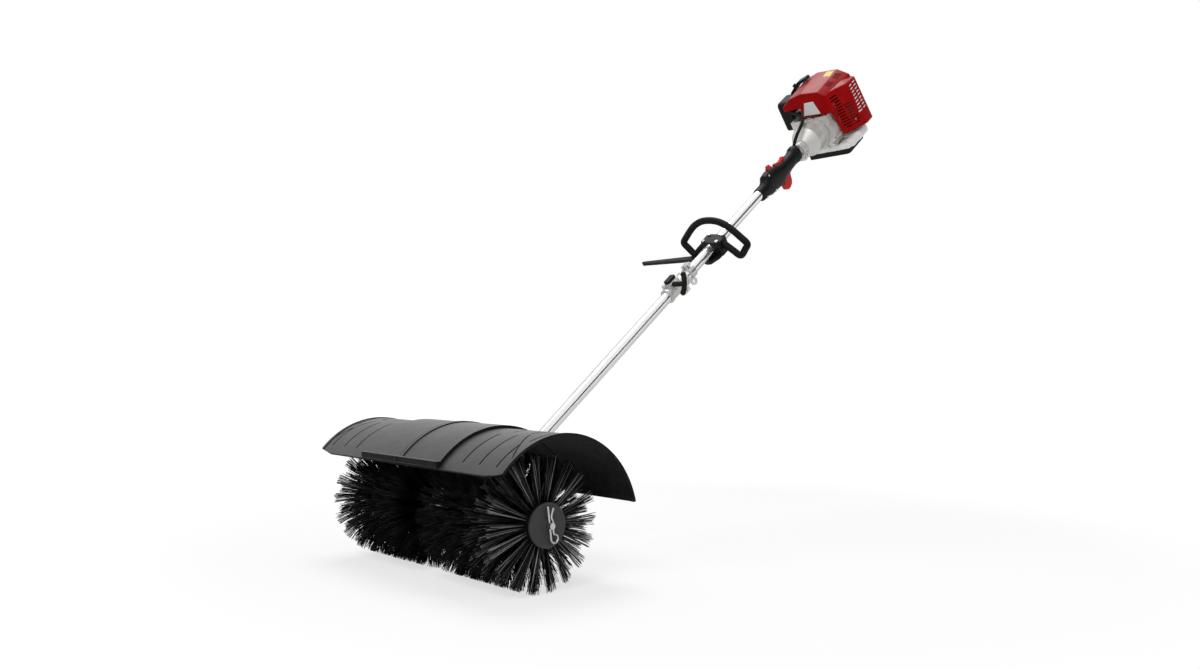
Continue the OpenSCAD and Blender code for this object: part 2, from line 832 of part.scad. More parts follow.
module harness_hanger() {
  color(steel) pole() translate([0, harness_y, 0]) difference() {
    union() {
      along_y(tube_r + 4, -10, 10);
      block(-8, 8, -10, 10, 2, tube_r + 11);
      block(-3.5, 3.5, -8, 8, hang_eye_z, -4);
      translate([0, 0, hang_eye_z]) along_x(eye_r + 4, -3.5, 3.5);
    }
    along_y(tube_r + fit, -11, 11);
    block(-1, 1, -11, 11, 2, far);
    translate([0, 0, hang_bolt_z]) along_x(bolt_r + fit, -far, far);
    translate([0, 0, hang_eye_z]) along_x(eye_r, -far, far);
  }
}

// Loop handle clamp: halves meet on the pole's level plane and hold both bar ends
module handle_place() {
  pole() translate([0, handle_y, 0]) rotate([0, loop_roll, 0]) children();
}

module handle_clamp(z0, z1) {
  difference() {
    translate([0, 0, z0]) linear_extrude(z1 - z0) rrect(2 * clamp_hx, 2 * clamp_hy, 6);
    along_y(tube_r + fit, -far, far);
    for (s = [0, 1]) mirror([s, 0, 0]) along_x(loop_r + 0.3, socket_x, far);
    for (b = clamp_bolts) translate([b[0], b[1], 0]) along_z(bolt_r + fit, -far, far);
  }
}

module handle_clamp_top() {
  color(black) handle_place() handle_clamp(0.4, clamp_hz);
}

module handle_clamp_base() {
  color(black) handle_place() handle_clamp(-clamp_hz, -0.4);
}

// Bar centre of one side of the loop: clamp end, dropped elbow, outer corner, arch
function loop_side() = [
  [socket_x + 0.4, 0], [clamp_hx - 3, 0], [clamp_hx + 0.5, 0], [clamp_hx + 3, -0.5],
  [clamp_hx + 9, -5], [56, -19], [66, -27.5],
  [73, -30], [80, -27], [loop_hw - 11, -14], [loop_hw - 3, -5], [loop_hw, 1], [loop_hw - 3, 8],
  [loop_hw - 14, 0.29 * loop_h], [loop_hw - 28, 0.5 * loop_h], [loop_hw - 43, 0.7 * loop_h],
  [loop_hw - 56, 0.83 * loop_h], [0.29 * loop_hw, 0.94 * loop_h], [0.14 * loop_hw, 0.988 * loop_h]
];

module loop_handle() {
  side = loop_side();
  n = len(side);
  path = concat(
    [for (p = side) [p[0], 0, p[1]]],
    [[0, 0, loop_h]],
    [for (i = [n - 1:-1:0]) [-side[i][0], 0, side[i][1]]]
  );
  color(black) handle_place() rotate([-loop_tilt, 0, 0]) bar(curve(path, 2), loop_r, 10, [0, 1, 0]);
}

// Barrier bar: plate under the clamp, gusset towards the brush, tapered arm across
module barrier_bar() {
  z1 = -clamp_hz - 0.2;
  color(black) difference() {
    union() {
      handle_place() translate([0, 0, z1 - 7]) linear_extrude(7) rrect(2 * clamp_hx, 2 * clamp_hy, 6);
      pole() translate([0, handle_y, z1 - 3 - bar_t]) linear_extrude(bar_t) polygon([
        [20, 8], [20, -28], [6, -52], [-8, -52], [-44, -35], [-90, -31], [4 - barrier_l, -27],
        [-barrier_l, -24], [-barrier_l, -21], [4 - barrier_l, -18], [-90, -15], [-42, -15], [-26, 8]
      ]);
    }
    handle_place() for (b = clamp_bolts) translate([b[0], b[1], 0]) along_z(bolt_r + fit, -far, far);
  }
}

module pole_bolts() {
  color(steel) {
    pole() translate([0, coupler_y + tie_y, tie_z]) screw_x(bolt_r, -12, 10);
    pole() translate([0, harness_y, hang_bolt_z]) screw_x(bolt_r, -10, 8);
    handle_place() for (b = clamp_bolts) translate([b[0], b[1], 0]) {
      screw_z(bolt_r, -clamp_hz - 9, clamp_hz);
    }
  }
}

// Throttle grip in one piece, with its pockets and bores
module grip() {
  difference() {
    loft([for (g = grip_form) oval(g[0], g[1], g[2], g[3])]);
    along_y(tube_r + fit, -1, grip_l + 1);
    block(-trigger_hw - 0.6, trigger_hw + 0.6, 100, 160, -far, 2 - tube_r);
    block(-lockout_hw - 0.6, lockout_hw + 0.6, 104, 162, tube_r - 2, far);
    block(-5.4, 5.4, 72, 98, 27, far);
    translate([0, 0, cable_z]) along_y(cable_r + 0.3, grip_l - 24, grip_l + 1);
    for (p = grip_screw_at) translate([0, p[0], p[1]]) {
      along_x(grip_screw_r + fit, -far, far);
      along_x(2 * grip_screw_r, 11, far);
    }
    translate([0, trigger_at[0], trigger_at[1]]) along_x(trigger_pin_r + fit, -grip_pin_hl, grip_pin_hl);
    translate([0, lockout_at[0], lockout_at[1]]) along_x(lockout_pin_r + fit, -grip_pin_hl, grip_pin_hl);
  }
}

module grip_left() {
  color(black) pole() translate([0, grip_y, 0]) {
    intersection() {
      grip();
      block(0.05, far, -10, grip_l + 10, -far, far);
    }
  }
}

module grip_right() {
  color(black) pole() translate([0, grip_y, 0]) {
    intersection() {
      grip();
      block(-far, -0.05, -10, grip_l + 10, -far, far);
    }
  }
}

// Grip screws, and the two pins that the trigger and the lockout turn on
module grip_screws() {
  color(steel) pole() translate([0, grip_y, 0]) {
    for (p = grip_screw_at) translate([0, p[0], p[1]]) screw_x(grip_screw_r, -12, 11);
    translate([0, trigger_at[0], trigger_at[1]]) along_x(trigger_pin_r, -grip_pin_hl, grip_pin_hl);
    translate([0, lockout_at[0], lockout_at[1]]) along_x(lockout_pin_r, -grip_pin_hl, grip_pin_hl);
  }
}

module throttle_trigger() {
  color(red) pole() translate([0, grip_y, 0]) difference() {
    union() {
      translate([0, trigger_at[0], trigger_at[1]]) along_x(4.2, -trigger_hw, trigger_hw);
      across_x(-trigger_hw, trigger_hw) polygon([
        [152, -15.8], [156, -19.5], [149.5, -31], [147, -43], [141, -51], [130, -56], [118, -57],
        [111, -52], [108, -44], [110, -35], [130, -26]
      ]);
    }
    translate([0, trigger_at[0], trigger_at[1]]) along_x(trigger_pin_r + run, -far, far);
  }
}

module trigger_lockout() {
  color(red) pole() translate([0, grip_y, 0]) difference() {
    union() {
      translate([0, lockout_at[0], lockout_at[1]]) along_x(3.8, -lockout_hw, lockout_hw);
      across_x(-lockout_hw, lockout_hw) polygon([
        [112, 17.8], [130, 18.2], [158, 18.6], [159, 24], [155, 28.5], [149, 29], [143, 25.6],
        [128, 25.2], [118, 30], [108, 30.5], [108.3, 21]
      ]);
    }
    translate([0, lockout_at[0], lockout_at[1]]) along_x(lockout_pin_r + run, -far, far);
  }
}

module stop_switch() {
  color(red) pole() translate([0, grip_y, 0]) {
    block(-5, 5, 73, 91, 27.4, 37.5);
    block(-4, 4, 76, 88, 37, 43);
  }
}

module throttle_cable() {
  path = curve([
    [0, -22, cable_z], [0, -12, cable_z], [0, -4, cable_z], [0, 1, cable_z], [0.3, 6, 24],
    [2.5, 14, 32], [6, 30, 43], [11, 50, 54], [10, 72, 63], [-6, 92, 70], [-28, 104, 73.5],
    [-46, 118, 73], [-55, 138, 70], [-57, 156, 67], [-57, carb_y0 - 0.3, 66]
  ], 3);
  color(black) engine() bar(path, cable_r, 8, [0, 0, 1]);
}

// Clutch housing: clamp on the tube, then a bell round the clutch
module clutch_housing() {
  bell_r = drum_r + 8;
  bell_y = drum_y - 5;
  color(cast) engine() difference() {
    union() {
      along_y(tube_r + 6, 11, 40);
      translate([0, 34, 0]) rotate([-90, 0, 0]) cylinder(r1 = tube_r + 8, r2 = bell_r, h = bell_y - 34);
      along_y(bell_r, bell_y, fan_y0);
      along_y(bell_r + 4, fan_y0 - 10, fan_y0);
      block(-12, 12, 11, 34, pinch_z - 7, -8);
    }
    along_y(tube_r + fit, -1, tube_end - engine_y + 1);
    along_y(shaft_r + 6, 30, bell_y + 1);
    along_y(drum_r + 3, bell_y, fan_y0 + 1);
    block(-1, 1, -1, 33, -far, -4);
    for (y = [16, 28]) translate([0, y, pinch_z]) along_x(bolt_r + fit, -far, far);
  }
}

module clutch_drum() {
  color(steel) engine() difference() {
    union() {
      along_y(8, drum_hub_y, drum_y + 3);
      along_y(drum_r, drum_y, drum_y1);
    }
    along_y(drum_r - 2.5, drum_y + 3, drum_y1 + 1);
    along_y(shaft_r + fit, drum_hub_y - 1, drum_hub_y + 16);
  }
}

// Clutch shoes on a cross arm, on a hub screwed to the crank's end
module clutch_shoes() {
  y0 = drum_y + 8;
  y1 = drum_y1 - 1;
  color(grey) engine() difference() {
    union() {
      along_y(13, y0 - 1, drum_y1 + 8);
      intersection() {
        ring_y(22, drum_r - 4, y0, y1);
        for (s = [0, 1]) mirror([s, 0, 0]) block(9, far, y0 - 1, y1 + 1, -far, far);
      }
      block(-26, 26, y0 + 3, y1 - 3, -8, 8);
    }
    along_y(crank_r + fit, drum_y1, drum_y1 + 9);
  }
}

module flywheel() {
  color(grey) engine() difference() {
    union() {
      along_y(16, drum_y1 + 9, fan_y1 - 10);
      along_y(wheel_fan_r, 134, 142);
      for (a = [0:30:330]) rotate([0, a, 0]) block(26, wheel_fan_r, 121, 138, -1.5, 1.5);
    }
    along_y(crank_r + fit, drum_y1 + 8, fan_y1 - 9);
  }
}

// Crankshaft: main shaft, two webs and a crank pin, at the top of the stroke
module crankshaft() {
  color(steel) engine() {
    along_y(crank_r, 97, 178);
    along_y(crank_r, 194, 238);
    for (y = [173, 191]) intersection() {
      along_y(27, y, y + 8);
      block(-17, 17, y - 1, y + 9, -far, 22);
    }
    translate([0, 0, stroke / 2]) along_y(5, 180, 192);
  }
}

module crankcase() {
  color(cast) engine() difference() {
    union() {
      along_y(42, fan_y1 + fit, case_y1);
      block(-32, 32, fan_y1 + 2, case_y1, 0, base_z);
      block(-26, 26, 174, 206, tank_top + gap / 2, -28);
      along_y(50, fan_y1 + gap, fan_y1 + 6);
    }
    along_y(31, 168, 204);
    along_y(crank_r + run, fan_y1 - 1, case_y1 + 1);
    block(-far, far, fan_y1 - 1, case_y1 + 1, base_z, far);
    block(-far, far, fan_y1 - 1, fan_y1 + 7, -far, tank_top + 2);
    translate([0, cyl_y, 0]) along_z(bore_r + 3, 10, base_z + 1);
  }
}

module piston() {
  color(steel) engine() translate([0, cyl_y, 0]) difference() {
    along_z(bore_r - run, piston_top - 34, piston_top);
    along_z(bore_r - 4, piston_top - 35, piston_top - 6);
  }
}

// Finned cylinder with an inlet and an exhaust stub, open below for the piston
module engine_cylinder() {
  z0 = base_z + 0.2;
  color(cast) engine() translate([0, cyl_y, 0]) difference() {
    union() {
      translate([0, 0, z0]) linear_extrude(6) rrect(62, 50, 5);
      along_z(bore_r + 6, z0, bore_top + 8);
      for (z = [z0 + 12:8:bore_top + 6]) translate([0, 0, z]) linear_extrude(2.4) rrect(76, 80, 14);
      translate([0, 0, port_z]) along_x(11, -port_x, port_x);
    }
    along_z(bore_r, z0 - 1, bore_top);
    along_z(plug_r + fit, bore_top - 1, far);
    translate([0, 0, port_z]) along_x(7, -port_x - 1, port_x + 1);
  }
}

module spark_plug() {
  color(milk) engine() translate([0, cyl_y, 0]) {
    along_z(plug_r, bore_top + 0.5, bore_top + 10);
    along_z(8, bore_top + 9, bore_top + 14);
    along_z(4.5, bore_top + 13, shroud_z - 6);
  }
}

// Fan case: drum cut flat above and below with square shoulders, bolt lugs and ribs
module fan_case() {
  color(grey) engine() difference() {
    union() {
      along_y(fan_r, fan_y0 + gap, fan_y1);
      block(4 - fan_r, fan_r - 4, fan_y0 + gap, fan_y1, 4, fan_top);
      for (a = fan_lugs) rotate([0, -a, 0]) translate([fan_r, 0, 0]) along_y(6.5, fan_y0 + 2.4, fan_y1 - 1);
      for (a = [20, 160, 240, 300]) rotate([0, -a, 0]) {
        block(drum_r + 15, fan_r - 3, fan_y0 - 3, fan_y0 + 4, -2.5, 2.5);
      }
    }
    intersection() {
      along_y(fan_r - 5, fan_y0 + 5, fan_y1 - 5);
      block(-far, far, 0, far, fan_low + 4, far);
    }
    along_y(drum_r + 4, fan_y0 - 5, fan_y0 + 6);
    along_y(30, fan_y1 - 6, fan_y1 + 1);
    block(-far, far, fan_y0 - 5, fan_y1 + 5, fan_top, far);
    block(-far, far, fan_y0 - 5, fan_y1 + 5, -far, fan_low);
    for (a = fan_lugs) rotate([0, -a, 0]) translate([fan_r, 0, 0]) along_y(bolt_r + fit, 0, fan_y1 + 1);
  }
}

// Hull of balls of one radius at a list of corners
module round_corners(pts, r) {
  hull() {
    for (p = pts) translate(p) sphere(r = r, $fn = 16);
  }
}

// Shroud: dome and box joined, open below, with gill slots in its right flank
module engine_shroud() {
  color(red) engine() difference() {
    union() {
      difference() {
        round_corners(dome, 6);
        block(-far, far, 0, far, -far, fan_top + gap);
      }
      difference() {
        round_corners(box, 6);
        block(-far, far, 0, far, -far, -36);
      }
    }
    round_corners(dome, 3);
    round_corners(box, 3);
    block(-far, fan_r + 2.5, 0, far, -far, fan_top + gap);
    block(-60, 60, 119.5, 228.5, 40, 60);
    block(60, 86, 168, 228.5, -32, 62);
    block(86, 112, 222, 240, -26, 96);
    block(-far, -14, 100, 158, -far, 82);
    block(-far, -60, 158, 214, -far, 88);
    for (k = [0:11]) {
      z = 9.6 * k - 22;
      t = (98 - z) / 132;
      translate([88 + t, 148 + 23 * t, z]) rotate([0, 0, 43]) {
        block(-22, 2, -14, 14, 0, 4.2);
        if (k < 8) block(6, 27, -14, 14, 0, 4.2);
      }
    }
    for (k = [0:8]) {
      z = 6 + 10 * k;
      block(100, 140, 182, 198, z, z + 4.4);
      block(100, 140, 204, 220, z, z + 4.4);
    }
  }
}

module muffler() {
  color(steel) engine() {
    translate([56, cyl_y + 14, 26]) rotate([90, 0, 90]) linear_extrude(28) rrect(48, 84, 12);
    translate([0, cyl_y, port_z]) ring_x(7, 12, port_x + gap, 58);
  }
}

// Carburettor body with a through bore and a fuel bowl below
module carburettor() {
  color(cast) engine() difference() {
    union() {
      block(carb_x0, -port_x - gap, carb_y0, carb_y0 + 34, port_z - 20, port_z + 18);
      translate([choke_at[0], carb_y0 + 17, port_z - 30]) cylinder(r = 10, h = 12);
    }
    translate([0, cyl_y, port_z]) along_x(7, -far, 0);
    translate([choke_at[0], 0, choke_at[1]]) along_y(2 + run, carb_y0 - 1, carb_y0 + 10);
  }
}

// Filter cover: side box, a band that lies over the shroud's shoulder and a thumb screw on it
module air_filter_cover() {
  lift = shroud_z - 134;
  band_y = [196, 220];
  color(black) engine() {
    translate([-67, (band_y[0] + band_y[1]) / 2, (103 + 138 + lift) / 2]) rotate([0, -38.5, 0]) {
      translate([0, 0, -2]) cylinder(r = 6, h = 9);
    }
    translate([-110, 182, 50]) rotate([90, 0, 90]) linear_extrude(35.4) rrect(70, 92, 12);
    along_outline(band_y[0], band_y[1]) polygon([
      [-84, 62], [-75.5, 62], [-75.5, 98], [-46, 129.5 + lift], [-14, 138 + lift],
      [-18, 146 + lift], [-50, 138 + lift], [-84, 103]
    ]);
  }
}

module choke_lever() {
  color(red) engine() translate([choke_at[0], 0, choke_at[1]]) {
    along_y(2, carb_y0 - 8, carb_y0 + 8);
    along_y(4.5, carb_y0 - 7, carb_y0 - gap);
    translate([0, carb_y0 - 6.6, 0]) block(-3, 3, 0, 3.4, -26, 0);
  }
}

// Fuel tank: tall part behind the fan case, a low lip under it and a flank beside it
module fuel_tank() {
  tank = [for (x = [-60, 90], y = [170, 217], z = [tank_low + 8.3, tank_top - 8.2]) [x, y, z]];
  lip = [for (x = [-54, 79], y = [128, 180], z = [tank_low + 6.7, fan_low - 7]) [x, y, z]];
  flank = [for (x = [83, 89], y = [136, 190], z = [tank_low + 9.3, tank_top - 9.1]) [x, y, z]];
  color(milk) engine() {
    round_corners(tank, 8);
    round_corners(lip, 6);
    round_corners(flank, 8);
    translate([0, cap_y, cap_z]) along_x(neck_out, -84, -60);
  }
}

module fuel_cap() {
  color(black) engine() translate([0, cap_y, cap_z]) difference() {
    union() {
      along_x(neck_out + 4, -88, -71);
      for (a = [0:30:330]) rotate([a, 0, 0]) translate([0, neck_out + 3, 0]) along_x(2.4, -88, -72);
    }
    along_x(neck_out + run, -84.4, -70);
  }
}

// Skid: open frame under the tank on four feet
module tank_skid() {
  color(black) engine() {
    translate([8, skid_y, -skid_z]) linear_extrude(11) difference() {
      rrect(140, skid_l, 10);
      rrect(116, skid_l - 24, 5);
    }
    for (x = [-54, 70], y = [150, 210]) translate([x, y, 0]) along_z(6, 10 - skid_z, tank_low + 0.2);
  }
}

module recoil_starter() {
  color(black) engine() difference() {
    union() {
      along_y(44, case_y1 + gap, starter_y1 - 10);
      along_y(58, starter_y1 - 12, starter_y1);
    }
    along_y(crank_r + 2, case_y1, starter_y1 - 6);
    along_y(38, case_y1 + 6, starter_y1 - 7);
    translate([pull_x, pull_y, 0]) along_z(3.4, 42, far);
  }
}

module starter_grip() {
  color(black) engine() translate([pull_x, pull_y, 0]) {
    along_z(3, 44, 62);
    translate([0, 0, 66]) along_x(6.5, -19, 19);
  }
}

// Screws of the fan case and of the clutch housing's clamp
module engine_bolts() {
  color(steel) engine() {
    for (a = fan_lugs) rotate([0, -a, 0]) translate([fan_r, 0, 0]) {
      along_y(bolt_r, fan_y0, fan_y1 - 2);
      along_y(1.75 * bolt_r, fan_y0 - 3.4, fan_y0 + gap);
    }
    for (y = [16, 28]) translate([0, y, pinch_z]) screw_x(bolt_r, -14, 12);
  }
}

bristles_left();
bristles_right();
drum_core_left();
drum_core_right();
hub_plates();
hairpins();
brush_axle();
worm_wheel();
gear_case_left();
gear_case_right();
gear_bearings();
axle_seals();
worm();
gear_case_bolts();
fender_left();
fender_right();
fender_bracket();
fender_bolts();
lower_tube();
upper_tube();
lower_drive_shaft();
upper_drive_shaft();
tube_bushes();
coupler_body();
coupler_knob();
coupler_lock();
harness_hanger();
pole_bolts();
loop_handle();
handle_clamp_top();
handle_clamp_base();
barrier_bar();
grip_left();
grip_right();
grip_screws();
throttle_trigger();
trigger_lockout();
stop_switch();
throttle_cable();
clutch_housing();
clutch_drum();
clutch_shoes();
flywheel();
crankshaft();
crankcase();
piston();
engine_cylinder();
spark_plug();
fan_case();
engine_shroud();
engine_bolts();
muffler();
carburettor();
air_filter_cover();
choke_lever();
fuel_tank();
fuel_cap();
tank_skid();
recoil_starter();
starter_grip();
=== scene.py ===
"""Looks of a power brush sweeper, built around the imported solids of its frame.

Every piece is in metres in the frame of the solids: +X is the operator's left side,
-Y is forward over the brush and +Z is up. Sizes of pieces are written in millimetres.
"""

from __future__ import annotations

import json
import logging
import math
import random
from dataclasses import dataclass, field
from enum import Enum
from typing import Callable, Sequence

import bmesh
import bpy
from mathutils import Matrix, Vector
from mathutils.bvhtree import BVHTree

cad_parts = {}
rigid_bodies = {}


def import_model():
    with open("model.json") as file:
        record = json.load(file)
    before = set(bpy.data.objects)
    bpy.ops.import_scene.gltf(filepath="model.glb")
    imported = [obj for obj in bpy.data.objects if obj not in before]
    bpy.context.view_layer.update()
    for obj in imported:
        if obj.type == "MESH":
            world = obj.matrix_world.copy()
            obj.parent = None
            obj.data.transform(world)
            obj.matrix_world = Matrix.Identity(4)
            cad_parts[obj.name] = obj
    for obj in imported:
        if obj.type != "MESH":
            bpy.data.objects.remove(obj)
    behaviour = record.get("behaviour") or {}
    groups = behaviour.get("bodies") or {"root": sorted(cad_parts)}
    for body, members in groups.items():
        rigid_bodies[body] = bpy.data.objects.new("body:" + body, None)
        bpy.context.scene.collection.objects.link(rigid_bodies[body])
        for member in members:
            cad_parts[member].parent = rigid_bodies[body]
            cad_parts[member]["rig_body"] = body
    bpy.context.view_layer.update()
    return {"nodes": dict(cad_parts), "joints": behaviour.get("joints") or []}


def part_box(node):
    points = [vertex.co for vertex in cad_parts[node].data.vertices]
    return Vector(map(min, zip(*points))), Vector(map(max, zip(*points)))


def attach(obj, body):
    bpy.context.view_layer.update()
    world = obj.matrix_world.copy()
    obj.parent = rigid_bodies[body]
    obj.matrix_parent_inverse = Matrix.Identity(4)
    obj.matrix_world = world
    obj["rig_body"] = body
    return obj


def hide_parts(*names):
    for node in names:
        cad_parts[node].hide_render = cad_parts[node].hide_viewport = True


LOG = logging.getLogger("brush_sweeper")
MM = 0.001
CRISP_DEG = 34.0
BAR_CRISP_DEG = 50.0
SHEET_CRISP_DEG = 40.0
Colour = tuple[float, float, float]
Point = tuple[float, float, float]
Pair = tuple[float, float]
Face = tuple[int, ...]
Mesh = bpy.types.Mesh
Node = bpy.types.Node
NodeTree = bpy.types.NodeTree
Socket = bpy.types.NodeSocket


class Slot(Enum):
    """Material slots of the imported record."""

    BRISTLE = "bristle"
    BLACK = "black_plastic"
    GREY = "grey_plastic"
    RUBBER = "rubber"
    STEEL = "steel"
    ALUMINIUM = "aluminium"
    CAST = "cast"
    BRONZE = "bronze"
    RED = "red_plastic"
    MILK = "milk_plastic"
    CERAMIC = "ceramic"


class Effect(Enum):
    """Surface effects that several finishes share."""

    GRAIN = "moulded_grain"
    WEAR = "edge_wear"
    DUST = "settled_dust"
    SCUFFS = "fine_scuffs"
    DRAWN = "drawn_lines"
    # Painted sheen: a coat on faces that look up, which stands in for light from above.
    PAINTED_SHEEN = "painted_upper_sheen"


class Side(Enum):
    """The operator's sides, each with the sign of its X."""

    LEFT = 1.0
    RIGHT = -1.0

    @property
    def word(self) -> str:
        """The side's name in the names of pieces."""
        return self.name.lower()


def new_mesh(name: str, verts: Sequence[Vector], faces: Sequence[Face]) -> Mesh:
    """Makes a mesh from its corners and faces.

    Args:
        name: name of the mesh.
        verts: corners in metres, in the frame of the solids.
        faces: numbers of each face's corners.

    Returns:
        The mesh.
    """
    mesh = bpy.data.meshes.new(name)
    mesh.from_pydata(verts, [], faces)
    return mesh


def shade(mesh: Mesh, crisp_deg: float) -> None:
    """Shades a mesh smoothly, but for edges sharper than an angle."""
    mesh.shade_smooth()
    mesh.set_sharp_from_angle(angle=math.radians(crisp_deg))


def turned(faces: Sequence[Face]) -> list[Face]:
    """Turns faces over, as the mirrored side of the sweeper needs."""
    return [face[::-1] for face in faces]


def linked(name: str, data: bpy.types.ID) -> bpy.types.Object:
    """Adds an object to the scene.

    Args:
        name: name of the object.
        data: its mesh, lamp or camera.

    Returns:
        The object.
    """
    made = bpy.data.objects.new(name, data)
    bpy.context.scene.collection.objects.link(made)
    return made


@dataclass
class Wiring:
    """Short ways to add and join nodes in one shader tree."""

    tree: NodeTree

    def node(self, kind: str, **settings: object) -> Node:
        """Adds a node.

        Args:
            kind: Blender's name for the node.
            settings: properties to set on it.

        Returns:
            The new node.
        """
        made = self.tree.nodes.new(kind)
        for key, value in settings.items():
            setattr(made, key, value)
        return made

    def feed(self, socket: Socket, value: object) -> None:
        """Sets a socket to a plain value, or links another socket to it.

        Args:
            socket: the input to set.
            value: a number, a colour or an output socket.
        """
        if isinstance(value, Socket):
            self.tree.links.new(value, socket)
        else:
            socket.default_value = value

    def position(self) -> Socket:
        """Gives the place on the surface, in metres."""
        return self.node("ShaderNodeTexCoord").outputs["Object"]

    def math(self, operation: str, a: object, b: object) -> Socket:
        """Adds a Math node.

        Args:
            operation: Blender's name for the operation.
            a: first number or socket.
            b: second number or socket.

        Returns:
            The result's socket.
        """
        made = self.node("ShaderNodeMath", operation=operation)
        self.feed(made.inputs[0], a)
        self.feed(made.inputs[1], b)
        return made.outputs[0]

    def span(self, value: object, source: Pair, target: Pair = (0.0, 1.0)) -> Socket:
        """Maps a value from one span to another and keeps it inside.

        Args:
            value: the number or socket to map.
            source: start and end of the span it comes from.
            target: values at that start and end.

        Returns:
            The result's socket.
        """
        made = self.node("ShaderNodeMapRange", clamp=True)
        for socket, number in zip(made.inputs[:5], (value, *source, *target)):
            self.feed(socket, number)
        return made.outputs[0]

    def mix(self, share: object, a: object, b: object) -> Socket:
        """Mixes two colours, on the Mix node's sockets for colours.

        Args:
            share: how much of the second colour, a number or a socket.
            a: first colour or socket.
            b: second colour or socket.

        Returns:
            The mixed colour's socket.
        """
        made = self.node("ShaderNodeMix", data_type="RGBA")
        self.feed(made.inputs[0], share)
        for socket, colour in ((made.inputs[6], a), (made.inputs[7], b)):
            self.feed(socket, (*colour, 1.0) if isinstance(colour, tuple) else colour)
        return made.outputs[2]

    def noise(self, vector: Socket, scale: object, octaves: Pair) -> Socket:
        """Adds a noise texture.

        Args:
            vector: socket with the place on the surface.
            scale: cells for each metre, a number or a socket.
            octaves: how many finer octaves, and how strong they are.

        Returns:
            The noise value's socket.
        """
        made = self.node("ShaderNodeTexNoise")
        self.feed(made.inputs["Vector"], vector)
        self.feed(made.inputs["Scale"], scale)
        made.inputs["Detail"].default_value, made.inputs["Roughness"].default_value = octaves
        return made.outputs[0]


